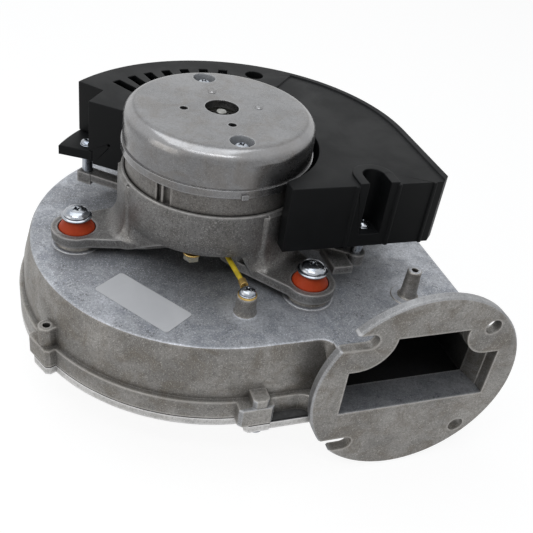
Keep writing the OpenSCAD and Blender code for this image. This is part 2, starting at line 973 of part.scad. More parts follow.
module cap_screws() {
  color("gainsboro")
    for (turn = [90, 270])
      rotate([0, 0, turn])
        translate([tie_ring_r, 0, cap_z - cap_pit])
          pan_screw(4, 2.8, tie_r, cap_z - cap_pit - cup_floor_z - 0.2);
}

// Outer race with two shields, from z upward
module outer_race(z) {
  groove_r = ball_ring_r + ball_r + ball_gap;
  color("lightgray")
    translate([0, 0, z])
      difference() {
        cylinder(r = race_r, h = race_w);
        translate([0, 0, 0.5])
          cylinder(r = groove_r, h = race_w - 1);
        translate([0, 0, -1])
          cylinder(r = 6.6, h = race_w + 2);
      }
}

module inner_race(z) {
  groove_r = ball_ring_r - ball_r - ball_gap;
  color("lightgray")
    translate([0, 0, z])
      difference() {
        cylinder(r = groove_r, h = race_w);
        translate([0, 0, -1])
          cylinder(r = shaft_r, h = race_w + 2);
      }
}

// Ring of balls held in their cage
module ball_cage(z) {
  color("gold")
    translate([0, 0, z + race_w / 2]) {
      difference() {
        translate([0, 0, -1])
          cylinder(r = ball_ring_r + 0.6, h = 2);
        translate([0, 0, -2])
          cylinder(r = ball_ring_r - 0.6, h = 4);
      }
      for (i = [1 : balls])
        rotate([0, 0, i * 360 / balls])
          translate([ball_ring_r, 0, 0])
            sphere(ball_r);
    }
}

module upper_bearing_outer_race() outer_race(upper_bearing_z);
module lower_bearing_outer_race() outer_race(lower_bearing_z);
module upper_bearing_inner_race() inner_race(upper_bearing_z);
module lower_bearing_inner_race() inner_race(lower_bearing_z);
module upper_ball_cage() ball_cage(upper_bearing_z);
module lower_ball_cage() ball_cage(lower_bearing_z);

module preload_washer() {
  color("gainsboro")
    translate([0, 0, upper_bearing_z + race_w])
      difference() {
        cylinder(r = race_r - 0.3, h = 0.8);
        translate([0, 0, -1])
          cylinder(r = 8.2, h = 3);
      }
}

// Plan of the control box with its walls set in by d; full_left fills the notch of the left end
module box_outline(d, full_left) {
  far = 130;
  shift = [1.25 * d, 0.25 * d];
  end_points = full_left
    ? [left_end[0] + shift, left_end[1] + shift, shelf_tip + shift, [-far, shelf_tip[1] + d]]
    : [for (p = left_end) p + shift];
  cut_y = far - box_right - box_front + box_chamfer + 1.4 * d;
  difference() {
    intersection() {
      union() {
        translate([box_cx, 0])
          circle(box_r - d);
        translate([box_end_x, -box_front - 5])
          square([box_right - d - box_end_x, box_front + 5]);
      }
      polygon(concat(
        [[box_end_x + d, 0], [0, 0]],
        end_points,
        [
          [-far, far],
          [far, far],
          [far, cut_y],
          [box_right - box_chamfer - 0.4 * d, -box_front + d],
          [box_end_x + d, -box_front + d]
        ]
      ));
    }
    circle(bay_r + d);
  }
}

// Plan of the screw pocket in the front face, grown by d
module pocket_outline(d) {
  translate([pocket_x, -pocket_y])
    circle(pocket_r + d);
  translate([pocket_x - pocket_r - d, -box_front - 5])
    square([2 * (pocket_r + d), box_front + 5 - pocket_y]);
}

module control_cover() {
  rim_grow = 4.6;
  rib_w = 1.8;
  rib_out = 0.8;
  color([0.16, 0.16, 0.17])
    difference() {
      union() {
        difference() {
          translate([0, 0, box_foot_z])
            linear_extrude(box_z - box_foot_z)
              box_outline(0, false);
          translate([0, 0, box_foot_z - 1])
            linear_extrude(box_z - box_t - panel_drop - box_foot_z + 1)
              box_outline(box_t, false);
          panel();
        }
        translate([0, 0, pocket_floor_z - box_t])
          linear_extrude(box_z - pocket_floor_z)
            intersection() {
              pocket_outline(box_t);
              box_outline(0, false);
            }
        translate([0, 0, box_z - panel_drop - eps])
          linear_extrude(panel_drop + eps + 0.3)
            intersection() {
              pocket_outline(rim_grow);
              box_outline(0, false);
            }
        translate([well_xy[0], well_xy[1], pocket_floor_z - box_t])
          cylinder(r = well_r + 1.8, h = box_z - pocket_floor_z);
        for (x = [pocket_x - 11, pocket_x + 10, 90])
          translate([x - rib_w / 2, -box_front - rib_out, box_foot_z])
            cube([rib_w, rib_out + eps, box_z - box_foot_z - panel_drop]);
      }
      translate([0, 0, pocket_floor_z])
        linear_extrude(box_z)
          pocket_outline(0);
      translate([well_xy[0], well_xy[1], pocket_floor_z])
        cylinder(r = well_r, h = box_z);
      for (spot = fix_spots)
        translate([spot[0], spot[1], box_foot_z])
          cylinder(r = fix_hole_r, h = 20);
      intersection() {
        translate([box_cx, 0, box_z - 10])
          cylinder(r = vent_rim_r, h = 20);
        for (i = [0 : vents - 1])
          rotate([0, 0, vent_turn0 - i * vent_step])
            translate([vent_r0, -vent_w / 2, box_z - 10])
              cube([vent_r1 - vent_r0, vent_w, 20]);
      }
      translate([box_right - 10, plug_y0 - 0.3, plug_z0 - 0.3])
        cube([20, plug_y1 - plug_y0 + 0.6, plug_z1 - plug_z0 + 0.6]);
      translate([-46.8, 31.4, 78.1])
        rotate([90, 0, -36.8])
          cylinder(r = 0.7, h = 8, center = true);
      translate([0, 0, box_foot_z - 1])
        linear_extrude(shelf_z + 0.3 - box_foot_z + 1)
          polygon(shelf_cut);
    }
}

// Sunken panel of the top, bounded by a lip along the outer edge
module panel() {
  lip_w = 3.4;
  far = 150;
  translate([0, 0, box_z - panel_drop])
    linear_extrude(10)
      difference() {
        intersection() {
          union() {
            translate([box_cx, 0])
              circle(box_r - lip_w);
            translate([0, -box_front - 10])
              square([box_right - lip_w, box_front + 10]);
          }
          polygon([
            [0, 0],
            far * [cos(panel_turn), sin(panel_turn)],
            [far, 0],
            [far, -far],
            [0, -far]
          ]);
        }
        circle(bay_r - 10);
      }
}

module control_base() {
  set_in = box_t + 0.3;
  color([0.13, 0.13, 0.14])
    difference() {
      union() {
        translate([0, 0, box_foot_z])
          linear_extrude(base_t)
            box_outline(set_in, false);
        translate([0, 0, box_foot_z + 1.5])
          linear_extrude(shelf_z - box_foot_z - 1.5)
            intersection() {
              difference() {
                box_outline(0, true);
                translate([8, 5])
                  box_outline(0, false);
              }
              polygon(shelf_edge);
            }
        for (spot = board_posts())
          translate([spot[0], spot[1], box_foot_z])
            cylinder(r = 3, h = board_z - box_foot_z);
      }
      for (spot = fix_spots)
        translate([spot[0], spot[1], box_foot_z - 1])
          cylinder(r = fix_hole_r, h = 20);
    }
}

function board_posts() = [[-18, 70], [60, 50], [84, -30], [35, -45.2]];

module circuit_board() {
  clear = 5;
  plug_clear = 7;
  color("darkgreen")
    translate([0, 0, board_z])
      linear_extrude(board_t)
        difference() {
          box_outline(clear, false);
          translate(well_xy)
            circle(well_r + 3);
          pocket_outline(box_t + 1);
          translate([box_right - plug_clear, plug_y0 - 1])
            square([plug_clear, plug_y1 - plug_y0 + 2]);
        }
}

board_top_z = board_z + board_t;

module board_capacitors() {
  color("midnightblue")
    for (cap = [[0, 72, 6], [14, 74, 6], [-14, 62, 5]])
      translate([cap[0], cap[1], board_top_z])
        rotate_extrude()
          polygon([
            [0, 0],
            [cap[2], 0],
            [cap[2], 1.5],
            [cap[2] - 0.5, 2],
            [cap[2], 2.5],
            [cap[2], 12],
            [cap[2] - 0.6, 12.6],
            [0, 12.6]
          ]);
}

module board_inductor() {
  color("darkorange")
    translate([70, 24, board_top_z + 5])
      rotate_extrude()
        translate([8, 0])
          circle(5);
}

module board_chips() {
  color("black")
    for (chip = [[43, -41, 8, 5], [74, 4, 8, 6], [51, 36, 6, 10], [-30, 56, 8, 8]])
      translate([chip[0] - chip[2] / 2, chip[1] - chip[3] / 2, board_top_z])
        cube([chip[2], chip[3], 2.2]);
}

module board_connector() {
  out = 0;
  depth = 14;
  collar = 6.4;
  well = 5;
  wall = 1.4;
  pins = 5;
  plug_w = plug_y1 - plug_y0;
  plug_h = plug_z1 - plug_z0;
  color("antiquewhite")
    difference() {
      union() {
        translate([box_right + out - collar, plug_y0, plug_z0])
          cube([collar, plug_w, plug_h]);
        translate([box_right + out - depth, plug_y0, board_top_z])
          cube([depth - collar + eps, plug_w, plug_z1 - board_top_z]);
      }
      translate([box_right + out - well, plug_y0 + wall, plug_z0 + wall])
        cube([well + 1, plug_w - 2 * wall, plug_h - 2 * wall]);
    }
  color("gold")
    for (i = [1 : pins], z = [plug_z0 + plug_h / 3, plug_z0 + 2 * plug_h / 3])
      translate([box_right + out - well - 1, plug_y0 + i * plug_w / (pins + 1) - 0.5, z - 0.5])
        cube([5, 1, 1]);
}

module cover_screws() {
  color("gainsboro")
    for (spot = fix_spots)
      translate([spot[0], spot[1], pocket_floor_z])
        pan_screw(3.6, 2.6, 1.5, pocket_floor_z - standoff_z0 - 1);
}

module cover_standoffs() {
  color("burlywood")
    for (spot = fix_spots)
      translate([spot[0], spot[1], standoff_z0])
        difference() {
          cylinder(r = 2.7, h = box_foot_z - standoff_z0 + (spot == left_fix_xy ? 1.5 : 0));
          translate([0, 0, -1])
            cylinder(r = 1.5, h = 20);
        }
}

earth_ring_z = plate_z + earth_boss_h;

module earth_screw() {
  color("gainsboro")
    translate([earth_xy[0], earth_xy[1], earth_ring_z + terminal_t])
      pan_screw(4, 3, 2, 10);
}

// Ring tongue and crimp barrel along +Y, ring centred on the origin, barrel raised by lift
module ring_terminal(lift) {
  barrel_r = 1.9;
  reach = 5.2;
  difference() {
    union() {
      cylinder(r = 4.4, h = terminal_t);
      translate([-1.8, 0, 0])
        cube([3.6, reach, terminal_t]);
    }
    translate([0, 0, -1])
      cylinder(r = 2, h = 3);
  }
  translate([0, reach - 0.2, lift])
    rotate([-90, 0, 0])
      difference() {
        cylinder(r = barrel_r, h = 4);
        translate([0, 0, 2])
          cylinder(r = wire_d / 2, h = 5);
      }
}

module earth_terminals() {
  color("goldenrod") {
    translate([earth_xy[0], earth_xy[1], earth_ring_z])
      ring_terminal(1.2);
    rotate([0, 0, bracket_screw_turns[0]])
      translate([bracket_screw_ring_r, 0, cup_floor_z - terminal_t])
        rotate([0, 0, wire_turn - 90 - bracket_screw_turns[0]])
          ring_terminal(-1.2);
  }
}

// Tube swept along points, square to the route at each point
function unit(v) = v / norm(v);
function tangent(p, i) = unit(p[min(i + 1, len(p) - 1)] - p[max(i - 1, 0)]);
function ring_at(p, i, r, n) =
  let (t = tangent(p, i), u = unit(cross(t, [0, 0, 1])), v = cross(u, t))
  [for (k = [0 : n - 1]) p[i] + r * (cos(k * 360 / n) * u + sin(k * 360 / n) * v)];

module tube(p, d, n) {
  last = (len(p) - 1) * n;
  polyhedron(
    points = [for (i = [0 : len(p) - 1]) each ring_at(p, i, d / 2, n)],
    faces = concat(
      [[for (k = [n - 1 : -1 : 0]) k]],
      [[for (k = [0 : n - 1]) last + k]],
      [for (i = [0 : len(p) - 2], k = [0 : n - 1])
        [i * n + k, i * n + (k + 1) % n, (i + 1) * n + (k + 1) % n, (i + 1) * n + k]]
    )
  );
}

module earth_wire() {
  color("yellow")
    tube(wire_points, wire_d - 0.1, wire_sides);
}

module blank_label() {
  label_l = 42;
  label_w = 15;
  corner = 2;
  color("gainsboro")
    translate([-43, -50, plate_z])
      rotate([0, 0, -53])
        linear_extrude(0.3) {
          square([label_l - 2 * corner, label_w], center = true);
          square([label_l, label_w - 2 * corner], center = true);
          for (x = [-1, 1], y = [-1, 1])
            translate([x * (label_l / 2 - corner), y * (label_w / 2 - corner)])
              circle(corner);
        }
}

module motor_shaft() {
  end_z = 13.2;
  tip_r = 2.5;
  tip_z = 111.4;
  color("lightgray")
    rotate_extrude()
      polygon([
        [0, end_z],
        [tail_r - 0.5, end_z],
        [tail_r, end_z + 0.5],
        [tail_r, tail_z],
        [shaft_r, tail_z],
        [shaft_r, 108.6],
        [shaft_r - 0.4, 109],
        [tip_r, 109],
        [tip_r, tip_z - 0.3],
        [tip_r - 0.3, tip_z],
        [0, tip_z]
      ]);
}

module rotor_core() {
  color("slategray")
    translate([0, 0, core_z0 - 1])
      difference() {
        cylinder(r = rotor_core_r, h = core_z1 - core_z0 + 2);
        translate([0, 0, -1])
          cylinder(r = shaft_r, h = 40);
      }
}

module rotor_magnets() {
  poles = 4;
  color("dimgray")
    for (i = [1 : poles])
      rotate([0, 0, i * 360 / poles + 2])
        rotate_extrude(angle = 360 / poles - 4)
          translate([rotor_core_r, core_z0])
            square([magnet_r - rotor_core_r, core_z1 - core_z0]);
}

module wheel_hub() {
  color("lightgray")
    difference() {
      union() {
        translate([0, 0, hub_z])
          cylinder(r = hub_r, h = 39.4 - hub_z);
        translate([0, 0, back_z + back_t])
          cylinder(r = hub_flange_r, h = 2.2);
      }
      translate([0, 0, tail_z])
        cylinder(r = shaft_r, h = 20);
      translate([0, 0, hub_z - 2])
        cylinder(r = tail_r, h = 5);
      wheel_rivet_row(1.5);
    }
}

module wheel_rivet_row(r) {
  for (i = [1 : rivets])
    rotate([0, 0, i * 360 / rivets])
      translate([rivet_ring_r, 0, back_z - 1])
        cylinder(r = r, h = 8);
}

module wheel_backplate() {
  color("lightgray")
    difference() {
      translate([0, 0, back_z])
        cylinder(r = wheel_r, h = back_t);
      translate([0, 0, back_z - 1])
        cylinder(r = hub_r, h = back_t + 2);
      wheel_rivet_row(1.5);
    }
}

module wheel_rivets() {
  color("silver")
    for (i = [1 : rivets])
      rotate([0, 0, i * 360 / rivets])
        translate([rivet_ring_r, 0, back_z])
          rotate_extrude()
            polygon([
              [0, -1.2],
              [1.8, -1],
              [2.6, 0],
              [1.5, 0],
              [1.5, back_t + 2.2],
              [2.6, back_t + 2.2],
              [1.8, back_t + 3.2],
              [0, back_t + 3.4]
            ]);
}

// Backward-curved blades: each a slice of a thin round wall between two radii
module wheel_blades() {
  blade_out_r = wheel_r - 1;
  // Centre of the blade arc, chosen so that the arc starts at the inner radius
  lean = 52;
  centre = blade_in_r * [1, 0] + blade_arc_r * [cos(90 + lean), sin(90 + lean)] * -1;
  color("silver")
    for (i = [1 : blades])
      rotate([0, 0, i * 360 / blades])
        translate([0, 0, shroud_z])
          linear_extrude(back_z - shroud_z)
            intersection() {
              difference() {
                circle(blade_out_r);
                circle(blade_in_r);
              }
              difference() {
                translate(centre)
                  circle(blade_arc_r + blade_t / 2);
                translate(centre)
                  circle(blade_arc_r - blade_t / 2);
              }
              translate([20, -5])
                square([60, 60]);
            }
}

module wheel_shroud() {
  color("lightgray")
    rotate_extrude()
      polygon([
        [eye_r, shroud_z - shroud_t - 0.8],
        [eye_r + shroud_t, shroud_z - shroud_t - 0.8],
        [eye_r + shroud_t + 0.6, shroud_z - shroud_t],
        [wheel_r, shroud_z - shroud_t],
        [wheel_r, shroud_z],
        [eye_r, shroud_z]
      ]);
}

module wheel_nut() {
  color("goldenrod")
    translate([0, 0, hub_z - 5.6])
      difference() {
        union() {
          cylinder(r = 5.8, h = 4.8, $fn = 6);
          translate([0, 0, 4.4])
            cylinder(r = 6.5, h = 1.2);
        }
        translate([0, 0, -1])
          cylinder(r = tail_r, h = 10);
      }
}

volute_housing();
bottom_cover();
housing_gasket();
housing_screws();
shaft_seal();
motor_bracket();
rubber_mounts();
mount_sleeves();
mount_screws();
bracket_screws();
motor_shell();
stator_core();
stator_windings();
motor_cap();
cap_screws();
upper_bearing_outer_race();
lower_bearing_outer_race();
preload_washer();
control_cover();
control_base();
circuit_board();
board_capacitors();
board_inductor();
board_chips();
board_connector();
cover_screws();
cover_standoffs();
earth_screw();
earth_terminals();
earth_wire();
blank_label();
motor_shaft();
rotor_core();
rotor_magnets();
upper_bearing_inner_race();
lower_bearing_inner_race();
wheel_hub();
wheel_backplate();
wheel_blades();
wheel_shroud();
wheel_rivets();
wheel_nut();
upper_ball_cage();
lower_ball_cage();
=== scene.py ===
"""Looks of a boiler combustion blower: cast volute, motor on rubber mounts, control box and wheel.

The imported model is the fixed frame, in metres. Each sub-assembly is a class that dresses its
solids with finishes and adds the pieces that carry finer detail than the solids.
"""

import json
import logging
import math
from dataclasses import dataclass, field
from enum import Enum
from typing import Optional, Sequence

import bmesh
import bpy
from mathutils import Matrix, Vector

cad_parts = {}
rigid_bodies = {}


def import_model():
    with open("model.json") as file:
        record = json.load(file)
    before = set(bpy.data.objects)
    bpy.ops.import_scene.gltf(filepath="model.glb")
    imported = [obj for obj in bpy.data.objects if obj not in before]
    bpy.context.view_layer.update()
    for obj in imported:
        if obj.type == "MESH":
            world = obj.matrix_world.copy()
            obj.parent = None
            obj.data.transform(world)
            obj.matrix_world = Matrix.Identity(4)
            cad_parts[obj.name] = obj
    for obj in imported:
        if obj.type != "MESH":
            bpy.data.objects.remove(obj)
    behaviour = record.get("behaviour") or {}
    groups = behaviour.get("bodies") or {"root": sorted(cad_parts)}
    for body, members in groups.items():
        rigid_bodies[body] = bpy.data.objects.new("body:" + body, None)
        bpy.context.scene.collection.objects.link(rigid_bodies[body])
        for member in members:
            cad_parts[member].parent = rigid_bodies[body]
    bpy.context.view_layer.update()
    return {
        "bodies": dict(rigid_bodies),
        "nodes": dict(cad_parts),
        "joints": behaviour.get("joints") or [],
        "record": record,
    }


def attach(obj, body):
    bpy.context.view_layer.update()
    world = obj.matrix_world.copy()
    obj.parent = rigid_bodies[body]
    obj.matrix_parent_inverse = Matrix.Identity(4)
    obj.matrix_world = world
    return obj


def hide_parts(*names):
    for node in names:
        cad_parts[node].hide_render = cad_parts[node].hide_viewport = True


LOG = logging.getLogger("blower")
MM = 0.001
HOUSING = "housing"
PLATE_HALOS = ((0.0, -65.0, 7.0), (33.1, -57.4, 11.0), (-66.3, 0.0, 11.0), (82.5, -65.5, 8.0))

Colour = tuple[float, float, float]
Point = tuple[float, float, float]
Socket = bpy.types.NodeSocket
Material = bpy.types.Material
Mesh = bpy.types.Mesh
Piece = bpy.types.Object


class CastFace(Enum):
    """Kinds of face on the volute's casting, by the place of their finish among its materials."""

    OUTSIDE = 0
    PLATE = 1
    INSIDE = 2
    RIM = 3


class Nodes:
    """Builder for one node tree."""

    def __init__(self, tree: bpy.types.NodeTree) -> None:
        """Keeps the tree.

        Args:
            tree: Tree that gets the nodes.
        """
        self.tree = tree

    def add(self, kind: str, **settings: object) -> bpy.types.Node:
        """Adds a node and sets its properties.

        Args:
            kind: Type name of the node.
            settings: Properties of the node.

        Returns:
            The new node.
        """
        node = self.tree.nodes.new(kind)
        for key, value in settings.items():
            setattr(node, key, value)
        return node

    def link(self, source: Socket, target: Socket) -> None:
        """Links an output to an input."""
        self.tree.links.new(source, target)

    def put(self, target: Socket, value: object) -> None:
        """Links a socket, or sets a constant, on an input.

        Args:
            target: The input.
            value: A socket, a number or a colour.
        """
        if isinstance(value, Socket):
            self.link(value, target)
        elif isinstance(value, tuple) and target.type == "RGBA":
            target.default_value = (*value, 1.0)
        else:
            target.default_value = value

    def step(self, kind: str, settings: Optional[dict] = None, **inputs: object) -> Socket:
        """Adds a node, fills its inputs and gives its first output.

        Args:
            kind: Type name of the node.
            settings: Properties of the node.
            inputs: Values by input name, with _ for a space.

        Returns:
            The first output.
        """
        node = self.add(kind, **(settings or {}))
        for key, value in inputs.items():
            self.put(node.inputs[key.replace("_", " ")], value)
        return node.outputs[0]

    def wired(self, kind: str, *values: object, **settings: object) -> Socket:
        """Adds a node, fills its inputs in their order and gives its first output.

        Args:
            kind: Type name of the node.
            values: Numbers, colours or sockets for the first inputs.
            settings: Properties of the node.

        Returns:
            The first output.
        """
        node = self.add(kind, **settings)
        for target, value in zip(node.inputs, values):
            self.put(target, value)
        return node.outputs[0]

    def math(self, how: str, a: object, b: object = 0.0) -> Socket:
        """One arithmetic step.

        Args:
            how: Operation name, such as MULTIPLY.
            a: First number or socket.
            b: Second number or socket.

        Returns:
            The result.
        """
        return self.wired("ShaderNodeMath", a, b, operation=how)


class Shader(Nodes):
    """Builder for the node tree of one material, on Object coordinates."""

    def __init__(self, name: str) -> None:
        """Starts a material with a Principled shader.

        Args:
            name: Name of the material.
        """
        self.material = bpy.data.materials.new(name)
        self.material.use_nodes = True
        super().__init__(self.material.node_tree)
        self.tree.nodes.clear()
        self.out = self.add("ShaderNodeOutputMaterial")
        self.bsdf = self.add("ShaderNodeBsdfPrincipled")
        self.link(self.bsdf.outputs[0], self.out.inputs["Surface"])
        self.coords = self.add("ShaderNodeTexCoord").outputs["Object"]

    def set(self, **values: object) -> None:
        """Sets inputs of the Principled shader, with _ for a space in their names."""
        for key, value in values.items():
            self.put(self.bsdf.inputs[key.replace("_", " ")], value)

    def stretched(self, scale: Point, turn: Point = (0, 0, 0)) -> Socket:
        """Object coordinates stretched along the axes.

        Args:
            scale: Factor along each axis.
            turn: Turn about each axis, in degrees.

        Returns:
            The vector output.
        """
        node = self.add("ShaderNodeMapping")
        self.link(self.coords, node.inputs["Vector"])
        node.inputs["Scale"].default_value = scale
        node.inputs["Rotation"].default_value = [math.radians(x) for x in turn]
        return node.outputs[0]

    def noise(self, scale: float, detail: float = 3.0, rough: float = 0.55,
              twist: float = 0.0, vector: Optional[Socket] = None) -> Socket:
        """Fractal noise.

        Args:
            scale: Cells per metre.
            detail: Number of octaves.
            rough: Weight of the finer octaves.
            twist: Distortion.
            vector: Coordinates, Object ones if left out.

        Returns:
            The value output.
        """
        node = self.add("ShaderNodeTexNoise")
        self.link(vector or self.coords, node.inputs["Vector"])
        node.inputs["Scale"].default_value = scale
        node.inputs["Detail"].default_value = detail
        node.inputs["Roughness"].default_value = rough
        node.inputs["Distortion"].default_value = twist
        return node.outputs[0]

    def dots(self, scale: float, size: float) -> Socket:
        """Round dots of random sizes, 1 inside a dot.

        Args:
            scale: Dots per metre.
            size: Largest radius as a share of the distance between dots.

        Returns:
            The share.
        """
        node = self.add("ShaderNodeTexVoronoi")
        self.link(self.coords, node.inputs["Vector"])
        node.inputs["Scale"].default_value = scale
        tint = self.add("ShaderNodeSeparateColor")
        self.link(node.outputs["Color"], tint.inputs[0])
        reach = self.math("MULTIPLY", tint.outputs[0], size)
        return self.ramp(self.math("SUBTRACT", node.outputs["Distance"], reach), -0.12, 0.05, 1.0, 0.0)

    def near(self, spot: tuple[float, float], inner: float, outer: float) -> Socket:
        """1 near an upright line, falling to 0 further out.

        Args:
            spot: Place of the line in the plane of X and Y, in metres.
            inner: Radius up to which it is 1.
            outer: Radius from which it is 0.

        Returns:
            The share.
        """
        flat = self.add("ShaderNodeVectorMath", operation="MULTIPLY")
        self.link(self.coords, flat.inputs[0])
        flat.inputs[1].default_value = (1.0, 1.0, 0.0)
        node = self.add("ShaderNodeVectorMath", operation="DISTANCE")
        self.link(flat.outputs[0], node.inputs[0])
        node.inputs[1].default_value = (*spot, 0.0)
        return self.ramp(node.outputs["Value"], inner, outer, 1.0, 0.0)

    def ramp(self, value: Socket, low: float, high: float,
             to_low: float = 0.0, to_high: float = 1.0) -> Socket:
        """Maps a value from one range to another, held at its ends.

        Args:
            value: Input value.
            low: Start of the input range.
            high: End of the input range.
            to_low: Output at the start.
            to_high: Output at the end.

        Returns:
            The mapped value.
        """
        node = self.add("ShaderNodeMapRange", interpolation_type="SMOOTHSTEP")
        self.link(value, node.inputs["Value"])
        for name, number in (("From Min", low), ("From Max", high), ("To Min", to_low), ("To Max", to_high)):
            node.inputs[name].default_value = number
        return node.outputs[0]

    def mix(self, share: object, a: object, b: object, how: str = "MIX") -> Socket:
        """Mixes two colours.

        Args:
            share: Weight of the second colour.
            a: First colour or socket.
            b: Second colour or socket.
            how: Blend type.

        Returns:
            The mixed colour.
        """
        node = self.add("ShaderNodeMix", data_type="RGBA", blend_type=how)
        self.put(node.inputs[0], share)
        self.put(node.inputs[6], a)
        self.put(node.inputs[7], b)
        return node.outputs[2]

    def soft_edges(self, radius: float) -> Socket:
        """Normal that is rounded near sharp edges.

        Args:
            radius: Radius of the rounding, in metres.

        Returns:
            The normal output.
        """
        node = self.add("ShaderNodeBevel", samples=4)
        node.inputs["Radius"].default_value = radius
        return node.outputs[0]

    def convex_edge(self, reach: float) -> Socket:
        """How near a point is to a convex edge, from 0 on a flat to 1 on the edge.

        Args:
            reach: Reach of the edge, in metres.

        Returns:
            The share.
        """
        node = self.add("ShaderNodeAmbientOcclusion", samples=6, inside=True, only_local=True)
        node.inputs["Distance"].default_value = reach
        return self.ramp(node.outputs["AO"], 0.95, 0.6)

    def tilted(self) -> Socket:
        """1 on faces that lean between level and upright, 0 on level and upright ones.

        Returns:
            The share.
        """
        parts = self.add("ShaderNodeSeparateXYZ")
        self.link(self.add("ShaderNodeTexCoord").outputs["Normal"], parts.inputs[0])
        up = parts.outputs["Z"]
        return self.math("MULTIPLY", self.ramp(up, 0.3, 0.7), self.ramp(up, 0.88, 0.985, 1.0, 0.0))

    def crevice(self, reach: float) -> Socket:
        """How open a point is, from 0 in a corner to 1 on an open face.

        Args:
            reach: Distance that is looked at, in metres.

        Returns:
            The share.
        """
        node = self.add("ShaderNodeAmbientOcclusion", samples=4)
        node.inputs["Distance"].default_value = reach
        return node.outputs["AO"]

    def bump(self, height: Socket, depth: float,
             normal: Optional[Socket] = None) -> Socket:
        """Bump of a real depth.

        Args:
            height: Height from 0 to 1.
            depth: Depth in metres.
            normal: Normal to start from.

        Returns:
            The bumped normal.
        """
        node = self.add("ShaderNodeBump")
        node.inputs["Strength"].default_value = 1.0
        node.inputs["Distance"].default_value = depth
        self.link(height, node.inputs["Height"])
        if normal is not None:
            self.link(normal, node.inputs["Normal"])
        return node.outputs[0]


